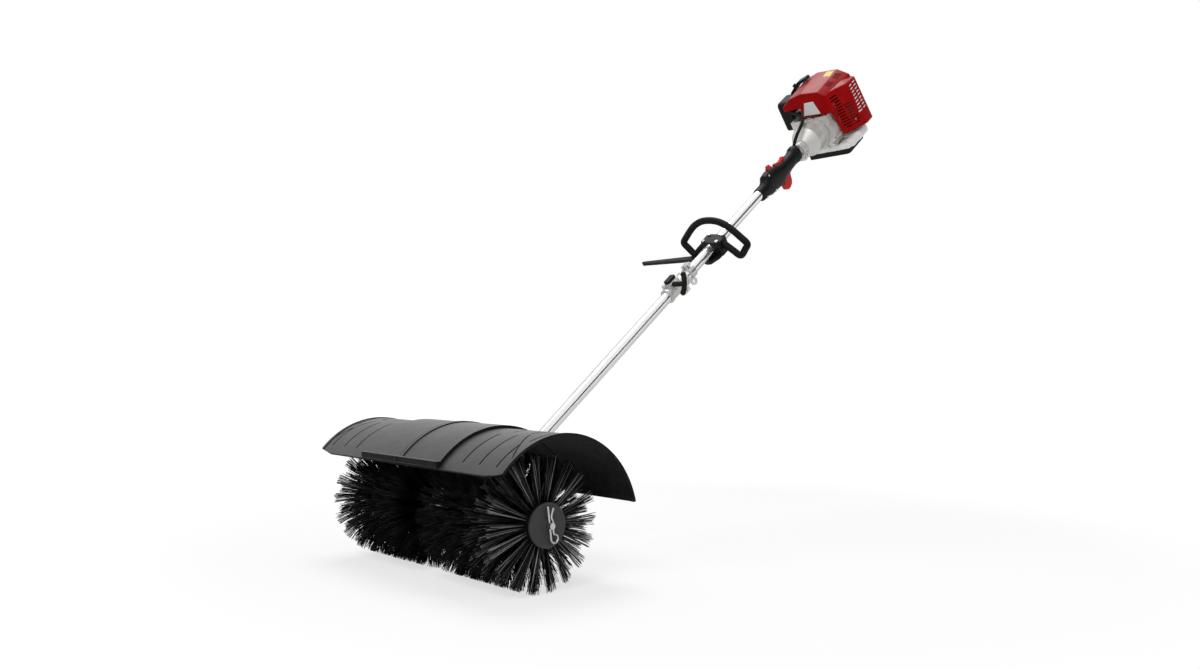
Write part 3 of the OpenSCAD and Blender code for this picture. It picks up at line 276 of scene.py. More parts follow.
@dataclass
class EffectGroups:
    """The shared effects as shader node groups, each built once.

    Octaves are those of the noise that breaks an effect up. A span is where the noise, the
    angle or the sharpness of an edge starts to count, and where it counts in full.
    """

    pole: PoleFrame
    trees: dict[Effect, NodeTree] = field(default_factory=dict)
    grain_octaves: Pair = (3.0, 0.6)
    tone_octaves: Pair = (4.0, 0.55)
    tone_span: Pair = (0.3, 0.7)
    edge_span: Pair = (0.52, 0.6)
    wear_octaves: Pair = (5.0, 0.65)
    wear_span: Pair = (0.38, 0.62)
    lying_span: Pair = (0.1, 0.95)
    dust_octaves: Pair = (6.0, 0.7)
    dust_span: Pair = (0.4, 0.75)
    scuff_turns: tuple[Point, Point] = ((0.4, 0.2, 0.9), (1.1, 0.7, -0.5))
    scuff_stretch: Point = (1.0, 14.0, 14.0)
    scuff_octaves: Pair = (2.0, 0.5)
    scuff_span: Pair = (0.66, 0.74)
    drawn_stretch: Point = (1.0, 120.0, 1.0)
    drawn_octaves: Pair = (3.0, 0.6)
    band_scale: float = 160.0
    band_octaves: Pair = (2.0, 0.5)
    drawn_span: Pair = (0.75, 1.25)
    # Facing span, noise and shares of the painted sheen, a coat on faces that look up that stands
    # in for light from above.
    painted_sheen_facing_span: Pair = (0.12, 0.5)
    painted_sheen_octaves: Pair = (4.0, 0.6)
    painted_sheen_span: Pair = (0.3, 0.7)
    painted_sheen_share: Pair = (0.85, 1.0)

    def __post_init__(self) -> None:
        """Builds every group."""
        for make in (self._grain, self._wear, self._dust, self._scuffs, self._drawn, self._painted_sheen):
            make()

    def place(self, wiring: Wiring, effect: Effect, **values: float) -> Node:
        """Places an effect in a material.

        Args:
            wiring: the material's wiring.
            effect: which effect.
            values: the group's inputs by name.

        Returns:
            The group node.
        """
        made = wiring.node("ShaderNodeGroup", node_tree=self.trees[effect])
        for name, value in values.items():
            made.inputs[name].default_value = value
        return made

    def _open(
        self, effect: Effect, takes: dict[str, float], gives: Sequence[str]
    ) -> tuple[Wiring, Node, Node]:
        """Starts a group with its sockets.

        Args:
            effect: which effect.
            takes: input names with their usual values.
            gives: output names.

        Returns:
            The wiring, the group's input node and its output node.
        """
        tree = bpy.data.node_groups.new(effect.value, "ShaderNodeTree")
        kind = {"socket_type": "NodeSocketFloat"}
        for name, value in takes.items():
            tree.interface.new_socket(name=name, in_out="INPUT", **kind).default_value = value
        for name in gives:
            tree.interface.new_socket(name=name, in_out="OUTPUT", **kind)
        self.trees[effect] = tree
        wiring = Wiring(tree)
        return wiring, wiring.node("NodeGroupInput"), wiring.node("NodeGroupOutput")

    def _patchy(
        self, effect: Effect, takes: dict[str, float], masks: Callable[[Wiring], Socket],
        octaves: Pair, span: Pair, share: Pair = (0.0, 1.0),
    ) -> None:
        """Builds a group that breaks a mask up into patches.

        Args:
            effect: which effect.
            takes: the inputs Amount and Scale with their usual values.
            masks: gives the mask's socket in the group.
            octaves: octaves of the patches' noise.
            span: where the noise starts and where it counts in full.
            share: how much of the mask stays below and above that span.
        """
        w, given, out = self._open(effect, takes, ("Mask",))
        patch = w.span(w.noise(w.position(), given.outputs["Scale"], octaves), span, share)
        mask = w.math("MULTIPLY", masks(w), patch)
        w.feed(out.inputs["Mask"], w.math("MULTIPLY", mask, given.outputs["Amount"]))

    def _grain(self) -> None:
        """Fine moulded or cast grain: a height for bump and a slow tone."""
        takes = {"Scale": 900.0, "Tone Scale": 14.0}
        w, given, out = self._open(Effect.GRAIN, takes, ("Height", "Tone"))
        place = w.position()
        fine = w.noise(place, given.outputs["Scale"], self.grain_octaves)
        slow = w.noise(place, given.outputs["Tone Scale"], self.tone_octaves)
        w.feed(out.inputs["Height"], fine)
        w.feed(out.inputs["Tone"], w.span(slow, self.tone_span))

    def _wear(self) -> None:
        """Rubbed edges: convex edges broken up by noise."""

        def edges(w: Wiring) -> Socket:
            """Gives a mask of convex edges."""
            sharp = w.node("ShaderNodeNewGeometry").outputs["Pointiness"]
            return w.span(sharp, self.edge_span)

        takes = {"Amount": 0.4, "Scale": 60.0}
        self._patchy(Effect.WEAR, takes, edges, self.wear_octaves, self.wear_span)

    @staticmethod
    def _looking_up(w: Wiring, span: Pair) -> Socket:
        """Gives a mask of faces that look up.

        Args:
            w: the group's wiring.
            span: upward part of the normal where the mask starts, and where it is full.

        Returns:
            The mask's socket.
        """
        split = w.node("ShaderNodeSeparateXYZ")
        w.feed(split.inputs[0], w.node("ShaderNodeNewGeometry").outputs["Normal"])
        return w.span(split.outputs["Z"], span)

    def _dust(self) -> None:
        """Dust that settles on faces that look up."""
        self._patchy(
            Effect.DUST, {"Amount": 0.1, "Scale": 30.0},
            lambda w: self._looking_up(w, self.lying_span), self.dust_octaves, self.dust_span,
        )

    def _painted_sheen(self) -> None:
        """Painted sheen on faces that look up, standing in for light from above; faces below stay
        dull.
        """
        self._patchy(
            Effect.PAINTED_SHEEN, {"Amount": 1.0, "Scale": 22.0},
            lambda w: self._looking_up(w, self.painted_sheen_facing_span), self.painted_sheen_octaves, self.painted_sheen_span,
            self.painted_sheen_share,
        )

    def _scuffs(self) -> None:
        """Short fine scratches in two directions."""
        w, given, out = self._open(Effect.SCUFFS, {"Amount": 0.2, "Scale": 40.0}, ("Mask",))
        place = w.position()
        lines = []
        for turn in self.scuff_turns:
            mapping = w.node("ShaderNodeMapping")
            mapping.inputs["Rotation"].default_value = turn
            mapping.inputs["Scale"].default_value = self.scuff_stretch
            w.feed(mapping.inputs["Vector"], place)
            fine = w.noise(mapping.outputs[0], given.outputs["Scale"], self.scuff_octaves)
            lines.append(w.span(fine, self.scuff_span))
        both = w.math("MAXIMUM", *lines)
        w.feed(out.inputs["Mask"], w.math("MULTIPLY", both, given.outputs["Amount"]))

    def _drawn(self) -> None:
        """Long lines left along a drawn tube."""
        w, given, out = self._open(Effect.DRAWN, {"Scale": 500.0}, ("Height", "Tone"))
        mapping = w.node("ShaderNodeMapping", vector_type="TEXTURE")
        mapping.inputs["Rotation"].default_value = (self.pole.slope, 0.0, 0.0)
        mapping.inputs["Scale"].default_value = self.drawn_stretch
        w.feed(mapping.inputs["Vector"], w.position())
        fine = w.noise(mapping.outputs[0], given.outputs["Scale"], self.drawn_octaves)
        bands = w.noise(mapping.outputs[0], self.band_scale, self.band_octaves)
        w.feed(out.inputs["Height"], fine)
        w.feed(out.inputs["Tone"], w.span(w.math("ADD", fine, bands), self.drawn_span))


@dataclass
class PoleFrame:
    """Slanted frame of the pole: x across, y up the tube and z square to both."""

    origin: Vector
    along: Vector
    engine: Vector

    @classmethod
    def from_joints(cls, joints: Sequence[dict]) -> PoleFrame:
        """Reads the pole from the joints of the drive shaft and the crankshaft.

        Args:
            joints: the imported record's joints.

        Returns:
            The pole's frame.
        """
        named = {joint["name"]: joint for joint in joints}
        drive = named["drive_spin"]
        return cls(
            origin=Vector(drive["pos_m"]),
            along=Vector(drive["axis"]).normalized(),
            engine=Vector(named["crank_spin"]["pos_m"]),
        )

    @property
    def slope(self) -> float:
        """Angle of the tube above level, in radians."""
        return math.atan2(self.along.z, self.along.y)

    @property
    def square(self) -> Vector:
        """Direction square to the tube, upward."""
        return Vector((1.0, 0.0, 0.0)).cross(self.along)

    def matrix(self, at: Vector) -> Matrix:
        """Gives the matrix from the slanted frame at a point to the frame of the solids.

        Args:
            at: origin of the slanted frame.

        Returns:
            The matrix, in metres.
        """
        axes = Matrix((Vector((1.0, 0.0, 0.0)), self.along, self.square)).transposed()
        return Matrix.Translation(at) @ axes.to_4x4()

    def on_pole(self, x: float, y: float, z: float) -> Vector:
        """Gives a point whose millimetres start at the lower end of the pole."""
        return self.matrix(self.origin) @ (Vector((x, y, z)) * MM)

    def on_engine(self, x: float, y: float, z: float) -> Vector:
        """Gives a point whose millimetres start at the engine's front face."""
        return self.matrix(self.engine) @ (Vector((x, y, z)) * MM)


@dataclass(frozen=True)
class Finish:
    """A moulded, cast or plated finish with grain, rubbed edges, scuffs, dust and, on some, a
    painted sheen on top.
    """

    name: str
    slot: Slot
    colour: Colour
    tint: Colour
    roughness: float
    spread: float = 0.06
    metallic: float = 0.0
    specular: float = 0.5
    edge_tint: float = 1.0
    grain: float = 900.0
    depth_mm: float = 0.04
    bump: float = 0.25
    wear: float = 0.35
    wear_colour: Colour = (0.3, 0.3, 0.3)
    scuff: float = 0.15
    dust: float = 0.06
    dust_colour: Colour = (0.32, 0.3, 0.27)
    dust_rough: float = 0.3
    # Painted sheen: a coat on faces that look up, standing in for light from above.
    painted_sheen: float = 0.0
    painted_sheen_rough: float = 0.4
    painted_sheen_ior: float = 1.5

    def material(self, effects: EffectGroups) -> bpy.types.Material:
        """Gives the finish's material, built at its first use.

        Args:
            effects: the shared effect groups.

        Returns:
            The material.
        """
        made = bpy.data.materials.get(self.name)
        if made is None:
            made = bpy.data.materials.new(self.name)
            made.use_nodes = True
            self.wire(Wiring(made.node_tree), made.node_tree.nodes["Principled BSDF"], effects)
        return made

    def wire(self, w: Wiring, shader: Node, effects: EffectGroups) -> None:
        """Joins the effects to the shader.

        Args:
            w: the material's wiring.
            shader: the material's Principled BSDF.
            effects: the shared effect groups.
        """
        height, tone = self.texture(w, effects)
        scuff = effects.place(w, Effect.SCUFFS, Amount=self.scuff).outputs["Mask"]
        worn = effects.place(w, Effect.WEAR, Amount=self.wear).outputs["Mask"]
        dust = effects.place(w, Effect.DUST, Amount=self.dust).outputs["Mask"]
        plain = w.mix(tone, self.colour, self.tint)
        colour = w.mix(w.math("MAXIMUM", scuff, worn), plain, self.wear_colour)
        w.feed(shader.inputs["Base Color"], w.mix(dust, colour, self.dust_colour))
        limits = (self.roughness - self.spread, self.roughness + self.spread)
        rough = w.span(tone, (0.0, 1.0), limits)
        dusty = w.math("MULTIPLY", dust, self.dust_rough)
        w.feed(shader.inputs["Roughness"], w.math("ADD", rough, dusty))
        shader.inputs["Metallic"].default_value = self.metallic
        shader.inputs["Specular IOR Level"].default_value = self.specular
        shader.inputs["Specular Tint"].default_value = (*(self.edge_tint,) * 3, 1.0)
        bump = w.node("ShaderNodeBump")
        bump.inputs["Strength"].default_value = self.bump
        bump.inputs["Distance"].default_value = self.depth_mm * MM
        w.feed(bump.inputs["Height"], height)
        w.feed(shader.inputs["Normal"], bump.outputs["Normal"])
        # Painted sheen: the coat on faces that look up stands in for light from above.
        if self.painted_sheen > 0.0:
            painted_sheen_mask = effects.place(w, Effect.PAINTED_SHEEN, Amount=self.painted_sheen).outputs["Mask"]
            w.feed(shader.inputs["Coat Weight"], painted_sheen_mask)
            shader.inputs["Coat Roughness"].default_value = self.painted_sheen_rough
            shader.inputs["Coat IOR"].default_value = self.painted_sheen_ior

    def texture(self, w: Wiring, effects: EffectGroups) -> tuple[Socket, Socket]:
        """Gives the height and the tone that vary over the surface.

        Args:
            w: the material's wiring.
            effects: the shared effect groups.

        Returns:
            The height's socket and the tone's socket.
        """
        grain = effects.place(w, Effect.GRAIN, Scale=self.grain)
        return grain.outputs["Height"], grain.outputs["Tone"]


@dataclass(frozen=True)
class DrawnFinish(Finish):
    """Drawn metal with fine lines along the pole."""

    lines: float = 500.0

    def texture(self, w: Wiring, effects: EffectGroups) -> tuple[Socket, Socket]:
        """Gives the drawn lines' height and tone.

        Args:
            w: the material's wiring.
            effects: the shared effect groups.

        Returns:
            The height's socket and the tone's socket.
        """
        drawn = effects.place(w, Effect.DRAWN, Scale=self.lines)
        return drawn.outputs["Height"], drawn.outputs["Tone"]


@dataclass(frozen=True)
class StrandFinish(Finish):
    """Nylon strands, each with a painted highlight of its own that its mesh carries."""

    highlight_name: str = "strand_highlight"

    def texture(self, w: Wiring, effects: EffectGroups) -> tuple[Socket, Socket]:
        """Gives the grain's height and every strand's painted highlight.

        Args:
            w: the material's wiring.
            effects: the shared effect groups.

        Returns:
            The height's socket and the painted highlight's socket.
        """
        height, _ = super().texture(w, effects)
        tone = w.node("ShaderNodeAttribute", attribute_name=self.highlight_name)
        return height, tone.outputs["Fac"]


@dataclass(frozen=True)
class MilkyFinish(Finish):
    """Milky moulded plastic whose wall lets some light in."""

    glow: float = 0.25
    glow_radius: Colour = (1.0, 0.9, 0.8)
    glow_mm: float = 4.0

    def wire(self, w: Wiring, shader: Node, effects: EffectGroups) -> None:
        """Joins the effects to the shader and lets light into the wall.

        Args:
            w: the material's wiring.
            shader: the material's Principled BSDF.
            effects: the shared effect groups.
        """
        super().wire(w, shader, effects)
        shader.inputs["Subsurface Weight"].default_value = self.glow
        shader.inputs["Subsurface Radius"].default_value = self.glow_radius
        shader.inputs["Subsurface Scale"].default_value = self.glow_mm * MM


@dataclass(frozen=True)
class Finishes:
    """Every finish on the sweeper."""

    # The pale tint is the painted highlight of the bright strands.
    nylon: StrandFinish = StrandFinish(
        "black_nylon", Slot.BRISTLE, (0.001, 0.001, 0.0011), (0.7, 0.7, 0.705), 0.42,
        specular=0.06, grain=400.0, wear=0.0, scuff=0.0, dust=0.01,
    )
    sleeve: Finish = Finish(
        "brush_sleeve", Slot.BRISTLE, (0.003, 0.003, 0.003), (0.006, 0.006, 0.006), 0.7,
        specular=0.08, wear=0.0, dust=0.02,
    )
    hub: Finish = Finish(
        "hub_plastic", Slot.GREY, (0.054, 0.054, 0.055), (0.066, 0.066, 0.067), 0.5,
        spread=0.03, specular=0.15, wear_colour=(0.1, 0.1, 0.1), scuff=0.05, dust=0.01,
    )
    # The fender's painted sheen lights faces that look up and leaves its under side dark.
    fender: Finish = Finish(
        "fender_plastic", Slot.BLACK, (0.009, 0.009, 0.0092), (0.012, 0.012, 0.0123), 0.5,
        spread=0.02, specular=0.04, grain=1400.0, bump=0.2, wear=0.15,
        wear_colour=(0.07, 0.07, 0.07), scuff=0.02, dust=0.008, painted_sheen=1.0, painted_sheen_rough=0.42,
        painted_sheen_ior=1.62,
    )
    black: Finish = Finish(
        "moulded_black", Slot.BLACK, (0.0035, 0.0035, 0.0037), (0.006, 0.006, 0.0063), 0.4,
        spread=0.03, specular=0.13, wear=0.25, wear_colour=(0.07, 0.07, 0.07), scuff=0.015,
        dust=0.004,
    )
    rubber: Finish = Finish(
        "black_rubber", Slot.RUBBER, (0.004, 0.004, 0.004), (0.007, 0.007, 0.007), 0.55,
        spread=0.04, specular=0.13, grain=1500.0, bump=0.4, wear=0.2,
        wear_colour=(0.06, 0.06, 0.06), scuff=0.02, dust=0.01,
    )
    grey: Finish = Finish(
        "moulded_grey", Slot.GREY, (0.09, 0.09, 0.095), (0.14, 0.14, 0.145), 0.5,
        wear_colour=(0.35, 0.35, 0.35), dust=0.1,
    )
    steel: Finish = Finish(
        "plated_steel", Slot.STEEL, (0.62, 0.62, 0.63), (0.5, 0.5, 0.52), 0.26,
        metallic=1.0, grain=300.0, wear_colour=(0.8, 0.8, 0.8), scuff=0.25, dust=0.04,
    )
    tube: Finish = DrawnFinish(
        "drawn_tube", Slot.ALUMINIUM, (0.92, 0.92, 0.92), (0.78, 0.78, 0.79), 0.2,
        metallic=1.0, edge_tint=0.6, depth_mm=0.02, bump=0.3, wear=0.1,
        wear_colour=(0.9, 0.9, 0.9), dust=0.02,
    )
    cast: Finish = Finish(
        "cast_alloy", Slot.CAST, (0.7, 0.69, 0.665), (0.6, 0.59, 0.57), 0.46,
        metallic=0.7, edge_tint=0.7, grain=520.0, depth_mm=0.12, bump=0.45,
        wear_colour=(0.75, 0.74, 0.72), scuff=0.06, dust=0.03,
    )
    bronze: Finish = Finish(
        "wheel_bronze", Slot.BRONZE, (0.55, 0.36, 0.14), (0.42, 0.26, 0.1), 0.35,
        metallic=1.0, wear_colour=(0.75, 0.58, 0.3), dust=0.0,
    )
    # The shroud's painted sheen lights the faces that look up.
    red: Finish = Finish(
        "shroud_red", Slot.RED, (0.37, 0.003, 0.004), (0.32, 0.0025, 0.0035), 0.4,
        spread=0.02, specular=0.03, grain=1600.0, bump=0.12, wear=0.1,
        wear_colour=(0.4, 0.03, 0.03), scuff=0.015, dust=0.004, painted_sheen=0.6, painted_sheen_rough=0.34,
    )
    bright_red: Finish = Finish(
        "control_red", Slot.RED, (0.62, 0.02, 0.018), (0.54, 0.016, 0.014), 0.38,
        spread=0.02, specular=0.14, grain=1600.0, bump=0.12, wear=0.25,
        wear_colour=(0.75, 0.2, 0.16), scuff=0.04, dust=0.02,
    )
    # Dark sheets that stand for slits: painted shade, not openings.
    painted_slit_shade: Finish = Finish(
        "slit_shadow", Slot.RED, (0.012, 0.001, 0.001), (0.02, 0.002, 0.002), 0.7,
        specular=0.02, wear=0.0, scuff=0.0, dust=0.0,
    )
    # Heat-stained steel, dark partly as the muffler's own colour and partly as painted shade for
    # the inside of the shroud.
    burnt_and_shade: Finish = Finish(
        "burnt_and_shaded_steel", Slot.STEEL, (0.02, 0.018, 0.016), (0.035, 0.03, 0.026), 0.6,
        metallic=0.5, specular=0.2, grain=300.0, wear=0.1, scuff=0.05, dust=0.01,
    )
    bright_plate: Finish = Finish(
        "bright_plate", Slot.STEEL, (0.95, 0.95, 0.95), (0.9, 0.9, 0.9), 0.4,
        grain=300.0, wear=0.0, scuff=0.05, dust=0.0,
    )
    milk: Finish = MilkyFinish(
        "milky_tank", Slot.MILK, (0.9, 0.89, 0.87), (0.84, 0.83, 0.81), 0.42,
        grain=700.0, bump=0.12, wear=0.1, wear_colour=(0.9, 0.9, 0.88), scuff=0.03, dust=0.01,
    )
    ceramic: Finish = Finish(
        "plug_ceramic", Slot.CERAMIC, (0.82, 0.81, 0.78), (0.74, 0.73, 0.7), 0.2,
        wear_colour=(0.6, 0.6, 0.58), dust=0.02,
    )
    yellow_label: Finish = Finish(
        "yellow_label", Slot.MILK, (0.85, 0.62, 0.03), (0.78, 0.55, 0.02), 0.4,
        grain=2000.0, bump=0.05, wear_colour=(0.9, 0.75, 0.3), dust=0.04,
    )
    white_label: Finish = Finish(
        "white_label", Slot.MILK, (0.82, 0.82, 0.8), (0.74, 0.74, 0.72), 0.4,
        grain=2000.0, bump=0.05, wear_colour=(0.6, 0.6, 0.6), dust=0.04,
    )


@dataclass(frozen=True)
class NodeDress:
    """How one solid is dressed.

    An edge width of zero leaves the solid itself showing with the finish on it.
    """

    node: str
    finish: Finish
    edge_mm: float = 0.0
    crisp_deg: float = CRISP_DEG


@dataclass
class Workshop:
    """What every sub-assembly shares: the frame, the pole, the effects and the finishes."""

    nodes: dict[str, bpy.types.Object]
    pole: PoleFrame
    effects: EffectGroups
    finish: Finishes = field(default_factory=Finishes)
    edge_segments: int = 2
    weld_mm: float = 0.002
    flat_deg: float = 0.4

    def add(
        self, mesh: Mesh, body: str, finish: Finish, replaces: Sequence[str] = ()
    ) -> bpy.types.Object:
        """Adds a piece that rides on a body.

        Args:
            mesh: the piece's mesh, which gives the piece its name.
            body: the body that carries the piece.
            finish: the piece's finish.
            replaces: solids that the piece stands for.

        Returns:
            The new piece.
        """
        piece = linked(mesh.name, mesh)
        mesh.materials.append(finish.material(self.effects))
        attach(piece, body)
        if replaces:
            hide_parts(*replaces)
        LOG.info("%s on %s: %d faces", piece.name, body, len(mesh.polygons))
        return piece

    def dress(self, dresses: Sequence[NodeDress]) -> None:
        """Dresses solids, each in place or as a piece with softened edges.

        Args:
            dresses: how each solid is dressed.
        """
        for item in dresses:
            if item.edge_mm > 0.0:
                self.soften(item)
            else:
                solid = self.nodes[item.node]
                solid.data.materials.clear()
                solid.data.materials.append(item.finish.material(self.effects))
                LOG.info("%s dressed in %s", item.node, item.finish.name)

    def soften(self, item: NodeDress) -> None:
        """Makes a piece from a solid with welded faces and softened edges.

        Args:
            item: how the solid is dressed.
        """
        mesh = self.welded(item.node)
        shade(mesh, item.crisp_deg)
        body = self.nodes[item.node]["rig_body"]
        piece = self.add(mesh, body, item.finish, (item.node,))
        self.round_edges(piece, item.edge_mm, item.crisp_deg)

    def round_edges(
        self, piece: bpy.types.Object, edge_mm: float, crisp_deg: float = CRISP_DEG
    ) -> None:
        """Rounds a piece's sharp edges.

        Args:
            piece: the piece.
            edge_mm: width of the rounding.
            crisp_deg: least angle of an edge that is rounded.
        """
        soft = piece.modifiers.new("softened_edges", "BEVEL")
        soft.width = edge_mm * MM
        soft.segments = self.edge_segments
        soft.limit_method = "ANGLE"
        soft.angle_limit = math.radians(crisp_deg)
        soft.harden_normals = True

    def welded(self, node: str) -> Mesh:
        """Copies a solid's faces into a mesh with shared corners.

        Args:
            node: the solid's name.

        Returns:
            The mesh.
        """
        source = self.nodes[node].data
        work = bmesh.new()
        corners = [work.verts.new(v.co) for v in source.vertices]
        for polygon in source.polygons:
            work.faces.new([corners[i] for i in polygon.vertices])
        bmesh.ops.remove_doubles(work, verts=work.verts, dist=self.weld_mm * MM)
        bmesh.ops.dissolve_limit(
            work, angle_limit=math.radians(self.flat_deg), verts=work.verts, edges=work.edges
        )
        mesh = bpy.data.meshes.new(f"{node}_skin")
        work.to_mesh(mesh)
        work.free()
        return mesh


class Sweeps:
    """Meshes of round bars along a path."""

    @staticmethod
    def smooth(points: Sequence[Vector], steps: int) -> list[Vector]:
        """Rounds a path with a Catmull-Rom curve through its points.

        Args:
            points: the path's points.
            steps: steps between two points.

        Returns:
            The finer path.
        """
        last = len(points) - 1
        fine: list[Vector] = []
        for i in range(last):
            a, b = points[max(i - 1, 0)], points[i]
            c, d = points[i + 1], points[min(i + 2, last)]
            for k in range(steps):
                t = k / steps
                square = (2 * a - 5 * b + 4 * c - d) * t**2
                cube = (3 * b - a - 3 * c + d) * t**3
                fine.append(0.5 * (2 * b + (c - a) * t + square + cube))
        fine.append(points[last].copy())
        return fine

    @staticmethod
    def faces(rings: int, sides: int, first: int = 0) -> list[Face]:
        """Lists the faces of a closed bar.

        Args:
            rings: rings of corners along the bar.
            sides: corners in each ring.
            first: number of the bar's first corner.

        Returns:
            The faces along the bar and of its two ends.
        """
        last = first + (rings - 1) * sides
        faces: list[Face] = []
        for ring in range(first, last, sides):
            for k in range(sides):
                a, b = ring + k, ring + (k + 1) % sides
                faces.append((a, b, b + sides, a + sides))
        faces.append(tuple(reversed(range(first, first + sides))))
        faces.append(tuple(range(last, last + sides)))
        return faces

    @staticmethod
    def bar(
        name: str, path: Sequence[Vector], radius: Callable[[float], float], sides: int
    ) -> Mesh:
        """Builds a closed round bar along a path.

        Args:
            name: name of the mesh.
            path: centre points in the frame of the solids.
            radius: radius in millimetres at a length in metres along the path.
            sides: sides of its section.

        Returns:
            The mesh.
        """
        verts: list[Vector] = []
        side = (path[1] - path[0]).normalized().orthogonal().normalized()
        run = 0.0
        last = len(path) - 1
        for i, centre in enumerate(path):
            ahead = (path[min(i + 1, last)] - path[max(i - 1, 0)]).normalized()
            side = (side - ahead * side.dot(ahead)).normalized()
            up = ahead.cross(side)
            run += (centre - path[i - 1]).length if i else 0.0
            reach = radius(run) * MM
            for k in range(sides):
                turn = 2 * math.pi * k / sides
                verts.append(centre + (side * math.cos(turn) + up * math.sin(turn)) * reach)
        mesh = new_mesh(name, verts, Sweeps.faces(len(path), sides))
        shade(mesh, BAR_CRISP_DEG)
        return mesh


class Sheets:
    """Meshes of thin closed sheets, such as labels."""

    @staticmethod
    def mesh(name: str, sheets: Sequence[Sequence[Vector]], rows: int, columns: int) -> Mesh:
        """Closes thin sheets, each given by its under side and its upper side.

        Args:
            name: name of the mesh.
            sheets: for each sheet the corners of its under side row by row, and then of its
                upper side.
            rows: cells along each sheet.
            columns: cells across it.

        Returns:
            The mesh.
        """
        verts: list[Vector] = []
        faces: list[Face] = []
        for sheet in sheets:
            faces += Sheets.faces(rows, columns, len(verts))
            verts += sheet
        mesh = new_mesh(name, verts, faces)
        work = bmesh.new()
        work.from_mesh(mesh)
        bmesh.ops.recalc_face_normals(work, faces=work.faces)
        work.to_mesh(mesh)
        work.free()
        shade(mesh, SHEET_CRISP_DEG)
        return mesh

    @staticmethod
    def faces(rows: int, columns: int, first: int) -> list[Face]:
        """Lists one sheet's faces.

        Args:
            rows: cells along the sheet.
            columns: cells across it.
            first: number of the sheet's first corner.

        Returns:
            The faces of both sides and of the rim.
        """
        width = columns + 1
        top = (rows + 1) * width
        faces: list[Face] = []
        for i in range(rows):
            for k in range(columns):
                a = first + i * width + k
                cell = (a, a + 1, a + 1 + width, a + width)
                faces.append(tuple(reversed(cell)))
                faces.append(tuple(c + top for c in cell))
        edge = list(range(width)) + [i * width + columns for i in range(1, rows + 1)]
        edge += [rows * width + k for k in range(columns - 1, -1, -1)]
        edge += [i * width for i in range(rows - 1, 0, -1)]
        edge = [first + e for e in edge]
        for a, b in zip(edge, edge[1:] + edge[:1]):
            faces.append((a, b, b + top, a + top))
        return faces


